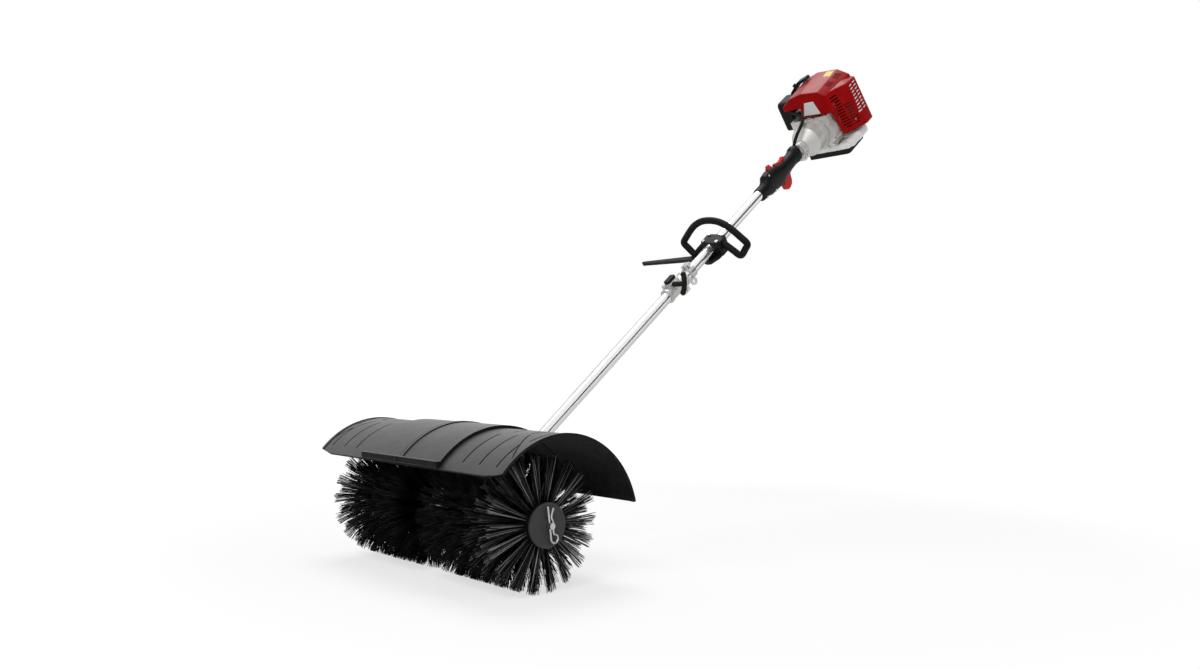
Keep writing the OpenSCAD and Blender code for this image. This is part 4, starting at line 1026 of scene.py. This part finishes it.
@dataclass
class BrushHead:
    """Two drums of nylon tufts on the cross axle, with their hubs and clips."""

    shop: Workshop
    axle: Vector
    seeds: tuple[int, int] = (11, 12)
    rings: int = 11
    tufts: int = 18
    strands: int = 36
    strand_r: float = 0.72
    strand_sides: int = 3
    strand_shares: tuple[float, ...] = (0.0, 0.55, 1.0)
    taper: float = 0.25
    first_x: float = 44.0
    last_x: float = 287.6
    end_room: float = 1.0
    sleeve_r: float = 40.0
    root_sunk: float = 2.0
    tip_r: float = 128.0
    tip_ragged: float = 6.0
    ragged_power: float = 2.2
    foot_deg: float = 5.4
    fan_deg: float = 7.4
    bow_deg: float = 0.6
    lean: float = 1.2
    stagger: float = 0.5
    splay: float = 9.0
    splay_least: float = 0.4
    splay_rings: int = 2
    end_rings: int = 3
    end_foot_deg: float = 5.0
    end_fan_deg: float = 5.6
    end_share: float = 0.55
    # Painted highlights: pale strands stand in for glints of light; they are full on the outer
    # rings and fade out toward the inner rings.
    highlight_fade_rings: int = 4
    inner_highlight: float = 0.06
    least_tuft_highlight: float = 0.4
    highlight_power: int = 4
    foot_share: float = 0.2
    fan_share: float = 0.44
    groove: float = 0.8
    groove_steps: int = 6
    sleeve_sides: int = 48
    sleeve_inset: float = 0.5
    clip_x: float = 298.0
    clip_r: float = 2.0
    clip_tilt_deg: float = 8.0
    clip_leg: tuple[float, ...] = (36.0, 16.0, 0.0, -14.0)
    clip_eye: float = 8.0
    clip_low: float = -26.0
    clip_arc: range = range(0, 271, 30)
    clip_wrap: float = 8.4
    clip_bends: tuple[Pair, ...] = (
        (0.8, -13.0), (0.92, -7.0), (1.07, 0.0), (0.92, 7.0), (0.66, 14.0), (0.95, 22.0),
        (1.5, 30.0),
    )
    clip_steps: int = 5
    clip_sides: int = 12

    @property
    def pitch(self) -> float:
        """Distance from one ring of tufts to the next."""
        return (self.last_x - self.first_x) / self.rings

    def build(self) -> None:
        """Builds the tufts, sleeves, clips and hubs."""
        finish = self.shop.finish
        for side, seed in zip(Side, self.seeds):
            self._tufts(side, random.Random(seed))
            self._sleeve(side)
        for side in Side:
            self._clip(side)
        self.shop.dress((
            NodeDress("hub_plates", finish.hub, 0.6),
            NodeDress("drum_core_left", finish.grey),
            NodeDress("drum_core_right", finish.grey),
            NodeDress("brush_axle", finish.steel, 0.5),
            NodeDress("worm_wheel", finish.bronze),
        ))

    def _at(self, x: float, r: float, turn: float) -> Vector:
        """Gives the point at a radius and an angle about the axle, in millimetres and radians."""
        return self.axle + Vector((x, r * math.cos(turn), r * math.sin(turn))) * MM

    def _tufts(self, side: Side, draw: random.Random) -> None:
        """Builds one drum's strands, fanned out from every tuft's foot.

        Args:
            side: which drum.
            draw: seeded random numbers.
        """
        finish = self.shop.finish.nylon
        verts: list[Vector] = []
        faces: list[Face] = []
        strand_highlights: list[float] = []
        for ring in range(self.rings):
            middle = self.first_x + (ring + 0.5) * self.pitch
            # Painted highlights: a ring's share fades toward the inner rings, and each tuft and
            # strand draws its own share.
            ring_highlight = max(self.inner_highlight, 1.0 - (self.rings - 1 - ring) / self.highlight_fade_rings)
            for tuft in range(self.tufts):
                turn = 2 * math.pi * (tuft + self.stagger * (ring % 2)) / self.tufts
                tuft_highlight = ring_highlight * (self.least_tuft_highlight + (1.0 - self.least_tuft_highlight) * draw.random())
                for _ in range(self.strands):
                    strand = self._strand(draw, side, middle, turn)
                    faces += Sweeps.faces(len(self.strand_shares), self.strand_sides, len(verts))
                    verts += strand
                    strand_highlights += [tuft_highlight * draw.random() ** self.highlight_power] * len(strand)
        if side is Side.LEFT:
            faces = turned(faces)
        mesh = new_mesh(f"tufts_{side.word}", verts, faces)
        mesh.shade_smooth()
        mesh.attributes.new(finish.highlight_name, "FLOAT", "POINT").data.foreach_set("value", strand_highlights)
        self.shop.add(mesh, "brush", finish, (f"bristles_{side.word}",))

    def _strand(self, draw: random.Random, side: Side, middle: float, turn: float) -> list[Vector]:
        """Gives the corners of one strand, slightly bowed.

        Args:
            draw: seeded random numbers.
            side: which drum.
            middle: the tuft's place along the axle.
            turn: the tuft's angle.

        Returns:
            The corners, ring by ring from foot to tip.
        """
        across, around = draw.uniform(-1, 1), draw.uniform(-1, 1)
        bow = math.radians(draw.gauss(0.0, self.bow_deg))
        lean = draw.gauss(0.0, self.lean)
        length = self.tip_r - self.tip_ragged * draw.random() ** self.ragged_power
        near = (middle - self.first_x) / (self.splay_rings * self.pitch)
        inward = self.splay * max(0.0, 1.0 - near) * draw.uniform(self.splay_least, 1.0)
        foot_fan, tip_fan, narrow = self.foot_deg, self.fan_deg, 1.0
        if middle > self.last_x - self.end_rings * self.pitch:
            foot_fan, tip_fan, narrow = self.end_foot_deg, self.end_fan_deg, self.end_share
        root = self.sleeve_r - self.root_sunk
        verts: list[Vector] = []
        for share in self.strand_shares:
            radius = root + (length - root) * share
            wide = self.foot_share + (self.fan_share - self.foot_share) * share
            fan = foot_fan + (tip_fan - foot_fan) * share
            angle = turn + math.radians(fan) * around + bow * share**2
            x = middle + across * wide * narrow * self.pitch + (lean - inward) * share**2
            least = self.first_x + self.end_room - inward * share**2
            x = min(max(x, least), self.last_x - self.end_room)
            thick = self.strand_r * (1.0 - self.taper * share)
            for k in range(self.strand_sides):
                spin = 2 * math.pi * k / self.strand_sides
                off = thick * math.sin(spin) / radius
                corner = x + thick * math.cos(spin)
                verts.append(self._at(side.value * corner, radius, angle + off))
        return verts

    def _sleeve(self, side: Side) -> None:
        """Builds the sleeve that holds one drum's tufts.

        Args:
            side: which drum.
        """
        count = self.rings * self.groove_steps
        start = self.first_x + self.sleeve_inset
        step = (self.pitch * self.rings - 2 * self.sleeve_inset) / count
        path = [self._at(side.value * (start + k * step), 0, 0) for k in range(count + 1)]

        def radius(run: float) -> float:
            """Radius with a shallow groove between two rings."""
            return self.sleeve_r - self.groove * abs(math.cos(math.pi * run / (self.pitch * MM)))

        mesh = Sweeps.bar(f"tuft_sleeve_{side.word}", path, radius, self.sleeve_sides)
        self.shop.add(mesh, "brush", self.shop.finish.sleeve)

    def _clip(self, side: Side) -> None:
        """Builds one spring clip from round wire: a leg, an eye and a wavy leg.

        Args:
            side: which axle end.
        """
        flat = [(0.0, z) for z in self.clip_leg]
        for step in self.clip_arc:
            turn = math.radians(step)
            flat.append((
                self.clip_eye - self.clip_eye * math.cos(turn),
                self.clip_low - self.clip_eye * math.sin(turn),
            ))
        flat += [(self.clip_wrap * share, z) for share, z in self.clip_bends]
        tilt = Matrix.Rotation(math.radians(self.clip_tilt_deg), 4, "X")
        end = Vector((side.value * self.clip_x, 0, 0))
        points = [self.axle + (tilt @ Vector((0, y, z)) + end) * MM for y, z in flat]
        path = Sweeps.smooth(points, self.clip_steps)
        name = f"spring_clip_{side.word}"
        mesh = Sweeps.bar(name, path, lambda run: self.clip_r, self.clip_sides)
        replaced = ("hairpins",) if side is Side.LEFT else ()
        self.shop.add(mesh, "brush", self.shop.finish.steel, replaced)


@dataclass
class GearCase:
    """Cast case with the worm drive, between the two drums."""

    shop: Workshop

    def build(self) -> None:
        """Dresses the case and what is inside it."""
        finish = self.shop.finish
        self.shop.dress((
            NodeDress("gear_case_left", finish.cast, 0.8),
            NodeDress("gear_case_right", finish.cast, 0.8),
            NodeDress("gear_bearings", finish.steel),
            NodeDress("axle_seals", finish.rubber, 0.3),
            NodeDress("gear_case_bolts", finish.steel, 0.3),
            NodeDress("worm", finish.steel),
        ))


@dataclass
class Fender:
    """Two moulded halves over the brush, on a steel bracket."""

    shop: Workshop
    axle: Vector
    centre_y: float = 8.0
    centre_z: float = -16.0
    panel_r: float = 191.0
    front_deg: float = 142.0
    wall_from: float = 0.9
    wall_to: float = 139.0
    wall_high: float = 12.0
    wall_sunk: float = 1.0
    wall_edge: float = 1.5

    def build(self) -> None:
        """Dresses the halves, the bracket and its screws, and adds the front walls."""
        finish = self.shop.finish
        self.shop.dress((
            NodeDress("fender_left", finish.fender, 0.7),
            NodeDress("fender_right", finish.fender, 0.7),
            NodeDress("fender_bracket", finish.steel, 0.6),
            NodeDress("fender_bolts", finish.steel, 0.3),
        ))
        for side in Side:
            self._front_wall(side)

    def _front_wall(self, side: Side) -> None:
        """Builds the upright wall at the front edge of one centre panel.

        Args:
            side: which half of the fender.
        """
        turn = math.radians(self.front_deg)
        front = self.centre_y + self.panel_r * math.cos(turn)
        low = self.centre_z + self.panel_r * math.sin(turn)
        high = low + self.wall_high
        behind = front + self.wall_high * math.tan(turn - math.pi / 2) + self.wall_sunk
        profile = ((front, low), (front, high), (behind, high))
        verts = [
            self.axle + Vector((side.value * x, y, z)) * MM
            for x in (self.wall_from, self.wall_to)
            for y, z in profile
        ]
        faces = Sweeps.faces(2, len(profile))
        if side is Side.LEFT:
            faces = turned(faces)
        mesh = new_mesh(f"panel_front_{side.word}", verts, faces)
        shade(mesh, CRISP_DEG)
        piece = self.shop.add(mesh, "frame", self.shop.finish.fender)
        self.shop.round_edges(piece, self.wall_edge)


@dataclass
class Pole:
    """Two drawn tubes, their coupler, the hanger and the drive shaft inside."""

    shop: Workshop
    strip_from: float = 385.0
    strip_to: float = 600.0
    strip_low_deg: float = 108.0
    strip_high_deg: float = 140.0
    strip_gap: float = 0.02
    strip_t: float = 0.15
    strip_rows: int = 24
    strip_columns: int = 8

    def build(self) -> None:
        """Dresses the pole and lays the blank strip on the lower tube."""
        finish = self.shop.finish
        self.shop.dress((
            NodeDress("lower_tube", finish.tube, 0.3),
            NodeDress("upper_tube", finish.tube, 0.3),
            NodeDress("lower_drive_shaft", finish.steel),
            NodeDress("upper_drive_shaft", finish.steel),
            NodeDress("tube_bushes", finish.rubber),
            NodeDress("coupler_body", finish.cast, 0.8),
            NodeDress("coupler_knob", finish.black, 0.8),
            NodeDress("coupler_lock", finish.black, 0.6),
            NodeDress("harness_hanger", finish.steel, 0.5),
            NodeDress("pole_bolts", finish.steel, 0.3),
        ))
        self._strip()

    def _strip(self) -> None:
        """Lays a thin blank strip along the lower tube."""
        rows, columns = self.strip_rows, self.strip_columns
        low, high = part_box("lower_tube")
        radius = (high.x - low.x) / 2 / MM
        verts: list[Vector] = []
        for r in (radius + self.strip_gap, radius + self.strip_t):
            for i in range(rows + 1):
                y = self.strip_from + (self.strip_to - self.strip_from) * i / rows
                for k in range(columns + 1):
                    rise = (self.strip_high_deg - self.strip_low_deg) * (k / columns)
                    turn = math.radians(self.strip_low_deg + rise)
                    verts.append(self.shop.pole.on_pole(r * math.cos(turn), y, r * math.sin(turn)))
        mesh = Sheets.mesh("tube_strip", (verts,), rows, columns)
        self.shop.add(mesh, "frame", self.shop.finish.yellow_label)


@dataclass
class Handles:
    """Loop handle, barrier bar and throttle grip on the upper tube."""

    shop: Workshop
    handle_y: float = 1000.0
    loop_r: float = 9.0
    loop_half: float = 102.0
    loop_h: float = 66.0
    loop_tilt_deg: float = 10.0
    loop_roll_deg: float = 7.0
    loop_steps: int = 5
    loop_sides: int = 28
    clamp_half: float = 29.0
    socket_x: float = 18.5

    def build(self) -> None:
        """Builds the loop and dresses the clamp, the bar and the grip."""
        finish = self.shop.finish
        self._loop()
        self.shop.dress((
            NodeDress("handle_clamp_top", finish.black, 0.9),
            NodeDress("handle_clamp_base", finish.black, 0.9),
            NodeDress("barrier_bar", finish.black, 0.9),
            NodeDress("grip_left", finish.black, 0.8),
            NodeDress("grip_right", finish.black, 0.8),
            NodeDress("grip_screws", finish.steel),
            NodeDress("throttle_trigger", finish.bright_red, 0.7),
            NodeDress("trigger_lockout", finish.bright_red, 0.7),
            NodeDress("stop_switch", finish.bright_red, 0.5),
        ))

    def _loop(self) -> None:
        """Builds the loop as one smooth bar from clamp end to clamp end."""
        half, high, clamp = self.loop_half, self.loop_h, self.clamp_half
        side = [
            (self.socket_x + 0.4, 0.0), (clamp - 3, 0.0), (clamp + 0.5, 0.0), (clamp + 3, -0.5),
            (clamp + 9, -5.0), (56.0, -19.0), (66.0, -27.5), (73.0, -30.0), (80.0, -27.0),
            (half - 11, -14.0), (half - 3, -5.0), (half, 1.0), (half - 3, 8.0),
            (half - 14, 0.29 * high), (half - 28, 0.5 * high), (half - 43, 0.7 * high),
            (half - 56, 0.83 * high), (0.29 * half, 0.94 * high), (0.14 * half, 0.988 * high),
        ]
        flat = side + [(0.0, high)] + [(-x, z) for x, z in reversed(side)]
        turn = Matrix.Rotation(math.radians(self.loop_roll_deg), 4, "Y")
        turn = turn @ Matrix.Rotation(math.radians(-self.loop_tilt_deg), 4, "X")
        place = Matrix.Translation((0, self.handle_y, 0)) @ turn
        points = [self.shop.pole.on_pole(*(place @ Vector((x, 0, z)))) for x, z in flat]
        path = Sweeps.smooth(points, self.loop_steps)
        mesh = Sweeps.bar("loop_bar", path, lambda run: self.loop_r, self.loop_sides)
        self.shop.add(mesh, "frame", self.shop.finish.rubber, ("loop_handle",))


@dataclass
class ThrottleCable:
    """Ribbed conduit from the grip to the carburettor."""

    shop: Workshop
    radius: float = 5.0
    sides: int = 16
    steps: int = 24
    rib_pitch: float = 3.2
    rib_depth: float = 0.7
    start_z: float = 20.0
    end_x: float = -57.0
    end_y: float = 169.7

    def build(self) -> None:
        z = self.start_z
        route = (
            (0, -22, z), (0, -12, z), (0, -4, z), (0, 1, z), (0.3, 6, 24), (2.5, 14, 32),
            (6, 30, 43), (11, 50, 54), (10, 72, 63), (-6, 92, 70), (-28, 104, 73.5),
            (-46, 118, 73), (-55, 138, 70), (self.end_x, 156, 67), (self.end_x, self.end_y, 66),
        )
        path = Sweeps.smooth([self.shop.pole.on_engine(*p) for p in route], self.steps)

        def radius(run: float) -> float:
            """Radius with one round rib for each pitch."""
            wave = 0.5 - 0.5 * math.cos(2 * math.pi * run / (self.rib_pitch * MM))
            return self.radius - self.rib_depth * wave

        mesh = Sweeps.bar("throttle_conduit", path, radius, self.sides)
        conduit = self.shop.add(mesh, "frame", self.shop.finish.rubber, ("throttle_cable",))


@dataclass
class Engine:
    """Two-stroke engine with its shroud, fan case, tank, filter and starter."""

    shop: Workshop

    def build(self) -> None:
        """Dresses the engine's solids."""
        finish = self.shop.finish
        self.shop.dress((
            NodeDress("clutch_housing", finish.cast, 0.8),
            NodeDress("clutch_drum", finish.steel),
            NodeDress("clutch_shoes", finish.steel),
            NodeDress("flywheel", finish.cast),
            NodeDress("crankshaft", finish.steel),
            NodeDress("crankcase", finish.cast, 0.6),
            NodeDress("piston", finish.cast),
            NodeDress("engine_cylinder", finish.cast, 0.4),
            NodeDress("spark_plug", finish.ceramic, 0.3),
            NodeDress("fan_case", finish.cast, 1.0),
            NodeDress("engine_shroud", finish.red, 1.0, 24.0),
            NodeDress("engine_bolts", finish.steel, 0.3),
            NodeDress("muffler", finish.burnt_and_shade, 0.8),
            NodeDress("carburettor", finish.cast, 0.6),
            NodeDress("air_filter_cover", finish.black, 1.0),
            NodeDress("choke_lever", finish.black, 0.5),
            NodeDress("fuel_tank", finish.milk, 1.2),
            NodeDress("fuel_cap", finish.black, 0.6),
            NodeDress("tank_skid", finish.black, 0.9),
            NodeDress("recoil_starter", finish.black, 0.9),
            NodeDress("starter_grip", finish.black, 0.8),
        ))


@dataclass(frozen=True)
class Patch:
    """Four corners of a patch on the engine, in order round it, and its thickness."""

    corners: tuple[Point, Point, Point, Point]
    thick: float

    def grid(self, cells: int) -> list[Vector]:
        """Divides the patch into cells.

        Args:
            cells: cells along the patch and across it.

        Returns:
            The cells' corners in millimetres on the engine, row by row.
        """
        a, b, c, d = (Vector(corner) for corner in self.corners)
        shares = [k / cells for k in range(cells + 1)]
        return [a.lerp(b, x).lerp(d.lerp(c, x), y) for y in shares for x in shares]


@dataclass
class ShroudTrim:
    """What lies on the shroud or just inside it: labels, dark sheets of painted slit shade, a
    bright guard and a dark plate of painted shade.
    """

    shop: Workshop
    cells: int = 10
    sunk: float = 0.05
    white: Patch = Patch(((5.5, 100, 95), (35, 100, 94.5), (44, 100, 54), (-12, 100, 57)), 0.2)
    yellow: Patch = Patch(((41, 196, 160), (65, 194, 160), (66, 219, 160), (42, 222, 160)), 0.2)
    slit_groups: tuple[float, ...] = (152.0, 190.0)
    slit_count: int = 5
    slit_w: float = 1.8
    slit_t: float = 0.12
    slit_step: float = 4.8
    slit_x: float = 66.0
    slit_run: Point = (13.0, 3.0, 0.0)
    slit_drift: float = 0.16
    above: float = 160.0
    guard_y: tuple[float, ...] = (181.0, 184.0, 186.5, 190.0, 201.0, 211.0, 221.0)
    guard_z0: float = 3.2
    guard_step: float = 10.0
    guard_rows: int = 9
    guard_sunk: float = 0.9
    guard_t: float = 0.8
    # A dark plate inside the shroud: painted shade that stands for the dark seen through its slots.
    shade_plate: Patch = Patch(
        ((66, 152, -33), (113, 197, -33), (111, 228.4, -33), (48, 228.4, -33)), 0.8
    )

    def build(self) -> None:
        """Lays the labels and the painted slit shade on the shroud and sets the guard and the
        painted shade plate inside.
        """
        finish = self.shop.finish
        solid = self.shop.nodes["engine_shroud"].data
        tree = BVHTree.FromPolygons(
            [v.co for v in solid.vertices], [list(f.vertices) for f in solid.polygons]
        )
        down = -self.shop.pole.square
        white = self._draped(tree, self.white, self.shop.pole.along)
        yellow = self._draped(tree, self.yellow, down)
        slit_shades = [self._draped(tree, patch, down) for patch in self._slit_shades()]
        self._add("white_blank_label", (white,), finish.white_label)
        self._add("yellow_blank_label", (yellow,), finish.yellow_label)
        self._add("shoulder_slit_shade", slit_shades, finish.painted_slit_shade)
        columns = len(self.guard_y) - 1
        guard = Sheets.mesh("flank_guard", (self._guard(tree),), self.guard_rows, columns)
        self.shop.add(guard, "frame", finish.bright_plate)
        # The dark plate is painted shade inside the shroud.
        self._add("shade_baffle", (self._flat(self.shade_plate),), finish.burnt_and_shade)

    def _add(self, name: str, sheets: Sequence[Sequence[Vector]], finish: Finish) -> None:
        """Adds sheets that have the usual cells as one piece."""
        self.shop.add(Sheets.mesh(name, sheets, self.cells, self.cells), "frame", finish)

    def _draped(self, tree: BVHTree, patch: Patch, toward: Vector) -> list[Vector]:
        """Drapes a patch on the shroud.

        Args:
            tree: the shroud's faces.
            patch: the patch, in front of the shroud.
            toward: direction from the patch to the shroud.

        Returns:
            Corners of the under side row by row, and then of the upper side.
        """
        on_engine = self.shop.pole.on_engine
        landed = [tree.ray_cast(on_engine(*p), toward)[0] for p in patch.grid(self.cells)]
        under = [place + toward * self.sunk * MM for place in landed]
        return under + [place - toward * patch.thick * MM for place in landed]

    def _slit_shades(self) -> list[Patch]:
        """Lists the dark sheets of painted shade that stand for slits in the shroud's shoulder.

        Returns:
            A narrow patch of painted shade over each slit.
        """
        patches: list[Patch] = []
        run, wide = Vector(self.slit_run), Vector((0.0, self.slit_w, 0.0))
        for first in self.slit_groups:
            for k in range(self.slit_count):
                y = first + self.slit_step * k
                x = self.slit_x + self.slit_drift * (y - self.slit_groups[0])
                a = Vector((x, y, self.above))
                corners = (a, a + run, a + run + wide, a + wide)
                patches.append(Patch(tuple(tuple(c) for c in corners), self.slit_t))
        return patches

    def _guard(self, tree: BVHTree) -> list[Vector]:
        """Follows the flank just under its surface, from bar to bar between the gill slots.

        Args:
            tree: the shroud's faces.

        Returns:
            Corners of the under side row by row, and then of the upper side.
        """
        inward = Vector((-1.0, 0.0, 0.0))
        landed: list[Vector] = []
        for row in range(self.guard_rows + 1):
            for y in self.guard_y:
                z = self.guard_z0 + self.guard_step * row
                landed.append(tree.ray_cast(self.shop.pole.on_engine(self.above, y, z), inward)[0])
        under = [place + inward * (self.guard_sunk + self.guard_t) * MM for place in landed]
        return under + [place + inward * self.guard_sunk * MM for place in landed]

    def _flat(self, patch: Patch) -> list[Vector]:
        """Gives a flat sheet below a patch.

        Args:
            patch: the sheet's upper side and thickness.

        Returns:
            Corners of the under side row by row, and then of the upper side.
        """
        return [
            self.shop.pole.on_engine(place.x, place.y, place.z - drop)
            for drop in (patch.thick, 0.0)
            for place in patch.grid(self.cells)
        ]


@dataclass
class CoverRibs:
    """Raised ribs on the starter's and the filter's covers, and the starter's boss."""

    shop: Workshop
    high: float = 1.4
    wide: float = 3.2
    sunk: float = 0.2
    edge: float = 0.5
    starter_y: float = 246.0
    starter_count: int = 10
    starter_from: float = 18.0
    starter_to: float = 51.0
    boss_r: float = 13.0
    boss_sides: int = 40
    filter_x: float = -110.0
    filter_y: tuple[float, ...] = (162.0, 172.0, 182.0, 192.0, 202.0)
    filter_z: Pair = (18.0, 82.0)

    def build(self) -> None:
        """Builds the ribs of both covers and the boss in the middle of the starter's."""
        middle, out = Vector((0.0, self.starter_y, 0.0)), Vector((0.0, 1.0, 0.0))
        ribs: list[list[Vector]] = []
        for k in range(self.starter_count):
            turn = 2 * math.pi * k / self.starter_count
            ray = Vector((math.cos(turn), 0.0, math.sin(turn)))
            start, end = middle + ray * self.starter_from, middle + ray * self.starter_to
            ribs.append(self._rib(start, end, out))
        self._add(Sheets.mesh("starter_ribs", ribs, 1, 1))
        ribs = []
        for y in self.filter_y:
            start, end = (Vector((self.filter_x, y, z)) for z in self.filter_z)
            ribs.append(self._rib(start, end, Vector((-1.0, 0.0, 0.0))))
        self._add(Sheets.mesh("filter_ribs", ribs, 1, 1))
        levels = (-self.sunk, self.high)
        path = [self.shop.pole.on_engine(*(middle + out * level)) for level in levels]
        self._add(Sweeps.bar("starter_boss", path, lambda run: self.boss_r, self.boss_sides))

    def _rib(self, start: Vector, end: Vector, out: Vector) -> list[Vector]:
        """Gives the corners of one straight rib.

        Args:
            start: where it starts on the cover, in millimetres on the engine.
            end: where it ends.
            out: direction away from the cover.

        Returns:
            Corners of the under side row by row, and then of the upper side.
        """
        side = (end - start).normalized().cross(out) * self.wide / 2
        flat = (start - side, start + side, end - side, end + side)
        return [
            self.shop.pole.on_engine(*(corner + out * level))
            for level in (-self.sunk, self.high)
            for corner in flat
        ]

    def _add(self, mesh: Mesh) -> None:
        """Adds a mesh to the engine in the covers' plastic, with rounded edges."""
        piece = self.shop.add(mesh, "frame", self.shop.finish.black)
        self.shop.round_edges(piece, self.edge)


@dataclass(frozen=True)
class Lamp:
    """A round soft lamp: its place and size in metres and its power in watts."""

    name: str
    place: Point
    size: float
    power: float


@dataclass
class Studio:
    """White floor and background with large soft lamps and one dark card for reflections."""

    pole: PoleFrame
    floor_half: float = 8.0
    floor_white: float = 0.9
    floor_glow: float = 1.12
    shadow_share: float = 0.4
    shadow_span: Pair = (1.0, 2.6)
    ambient: float = 0.34
    reflected: float = 0.95
    lamps: tuple[Lamp, ...] = (
        Lamp("key_lamp", (2.4, -5.4, 5.6), 3.0, 170.0),
        Lamp("top_lamp", (-1.6, 0.6, 7.0), 4.0, 190.0),
        Lamp("side_lamp", (6.5, 2.6, 2.6), 2.4, 40.0),
    )
    aim: Point = (0.0, -0.1, 0.5)
    card_offset: Point = (1.71, 0.79, 0.68)
    card_middle: float = 0.75
    card_wide: float = 0.9
    card_long: float = 3.6
    card_black: float = 0.01

    def build(self) -> None:
        """Builds the floor, the background, the dark card and the lamps."""
        self._floor()
        self._world()
        self._card()
        for lamp in self.lamps:
            data = bpy.data.lights.new(lamp.name, "AREA")
            data.shape = "DISK"
            data.size = lamp.size
            data.energy = lamp.power
            made = linked(lamp.name, data)
            made.location = lamp.place
            look = Vector(self.aim) - Vector(lamp.place)
            made.rotation_euler = look.to_track_quat("-Z", "Y").to_euler()
            made.visible_camera = False

    @staticmethod
    def _plate(
        name: str, middle: Vector, along: Vector, across: Vector, finish: str
    ) -> tuple[bpy.types.Object, NodeTree]:
        """Adds a flat plate to the stage, with a new material.

        Args:
            name: the plate's name.
            middle: its middle.
            along: from its middle to one edge.
            across: from its middle to the next edge.
            finish: the material's name.

        Returns:
            The plate and its material's node tree.
        """
        signs = ((-1, -1), (1, -1), (1, 1), (-1, 1))
        corners = [middle + along * i + across * k for i, k in signs]
        mesh = new_mesh(name, corners, [(0, 1, 2, 3)])
        made = bpy.data.materials.new(finish)
        made.use_nodes = True
        mesh.materials.append(made)
        plate = linked(name, mesh)
        return plate, made.node_tree

    @staticmethod
    def _seen(w: Wiring, path: Node) -> Socket:
        """Gives a mask of rays that come from the camera, also through clear pieces.

        Args:
            w: the wiring of the floor or of the world.
            path: its Light Path node.

        Returns:
            The mask's socket.
        """
        return w.math("MAXIMUM", path.outputs["Is Camera Ray"], path.outputs["Is Transmission Ray"])

    def _floor(self) -> None:
        """Builds a white floor that keeps a soft shadow near the object."""
        half = self.floor_half
        right, back = Vector((half, 0.0, 0.0)), Vector((0.0, half, 0.0))
        _, tree = self._plate("studio_floor", Vector(), right, back, "studio_white")
        tree.nodes.clear()
        w = Wiring(tree)
        diffuse = w.node("ShaderNodeBsdfDiffuse")
        diffuse.inputs["Color"].default_value = (*(self.floor_white,) * 3, 1.0)
        light = w.node("ShaderNodeEmission")
        light.inputs["Strength"].default_value = self.floor_glow
        reach = w.node("ShaderNodeVectorMath", operation="LENGTH")
        w.feed(reach.inputs[0], w.position())
        away = w.span(reach.outputs["Value"], self.shadow_span, (1.0 - self.shadow_share, 1.0))
        seen = self._seen(w, w.node("ShaderNodeLightPath"))
        blend = w.node("ShaderNodeMixShader")
        w.feed(blend.inputs[0], w.math("MULTIPLY", away, seen))
        w.feed(blend.inputs[1], diffuse.outputs[0])
        w.feed(blend.inputs[2], light.outputs[0])
        w.feed(w.node("ShaderNodeOutputMaterial").inputs["Surface"], blend.outputs[0])

    def _card(self) -> None:
        """Hangs a dark card beside the pole, which only reflections show."""
        offset = Vector(self.card_offset)
        facing = -offset.normalized()
        middle = self.pole.origin + self.pole.along * self.card_middle + offset
        along = (self.pole.along - facing * self.pole.along.dot(facing)).normalized()
        across = along.cross(facing) * self.card_wide / 2
        along = along * self.card_long / 2
        card, tree = self._plate("dark_card", middle, along, across, "card_black")
        card.visible_camera = False
        card.visible_diffuse = False
        card.visible_shadow = False
        shader = tree.nodes["Principled BSDF"]
        shader.inputs["Base Color"].default_value = (*(self.card_black,) * 3, 1.0)
        shader.inputs["Specular IOR Level"].default_value = 0.0

    def _world(self) -> None:
        """Builds a background that is white to look at and lights at a plain level."""
        world = bpy.data.worlds.new("studio_world")
        bpy.context.scene.world = world
        world.use_nodes = True
        world.node_tree.nodes.clear()
        w = Wiring(world.node_tree)
        path = w.node("ShaderNodeLightPath")
        light = w.math("MULTIPLY", path.outputs["Is Glossy Ray"], self.reflected - self.ambient)
        seen = w.math("MULTIPLY", self._seen(w, path), 1.0 - self.ambient)
        white = w.node("ShaderNodeBackground")
        white.inputs["Color"].default_value = (1.0, 1.0, 1.0, 1.0)
        strength = w.math("ADD", w.math("ADD", light, seen), self.ambient)
        w.feed(white.inputs["Strength"], strength)
        w.feed(w.node("ShaderNodeOutputWorld").inputs["Surface"], white.outputs[0])


@dataclass
class PhotoCamera:
    """Camera at the photograph's view."""

    axle: Vector
    offset: Point = (1.7138, -1.1693, 0.2941)
    forward: Point = (-0.7389, 0.6731, 0.0299)
    upward: Point = (0.0169, -0.0259, 0.9995)
    lens_mm: float = 30.006
    sensor_mm: float = 36.0

    def build(self) -> None:
        """Builds the camera and makes it the scene's own."""
        data = bpy.data.cameras.new("photo_camera")
        data.lens = self.lens_mm
        data.sensor_fit = "HORIZONTAL"
        data.sensor_width = self.sensor_mm
        data.dof.use_dof = False
        back = -Vector(self.forward).normalized()
        right = Vector(self.upward).cross(back).normalized()
        axes = Matrix((right, back.cross(right), back)).transposed().to_4x4()
        camera = linked("photo_camera", data)
        camera.matrix_world = Matrix.Translation(self.axle + Vector(self.offset)) @ axes
        bpy.context.scene.camera = camera


def main() -> None:
    """Builds every sub-assembly around the frame, and the studio it stands in."""
    logging.basicConfig(level=logging.INFO, format="%(name)s: %(message)s")
    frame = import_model()
    pole = PoleFrame.from_joints(frame["joints"])
    shop = Workshop(frame["nodes"], pole, EffectGroups(pole))
    axle = next(Vector(j["pos_m"]) for j in frame["joints"] if j["name"] == "brush_spin")
    PhotoCamera(axle).build()
    ThrottleCable(shop).build()
    BrushHead(shop, axle).build()
    GearCase(shop).build()
    Fender(shop, axle).build()
    Pole(shop).build()
    Handles(shop).build()
    Engine(shop).build()
    ShroudTrim(shop).build()
    CoverRibs(shop).build()
    Studio(pole).build()
    bpy.context.scene.view_settings.view_transform = "Standard"


if __name__ == "__main__":
    main()
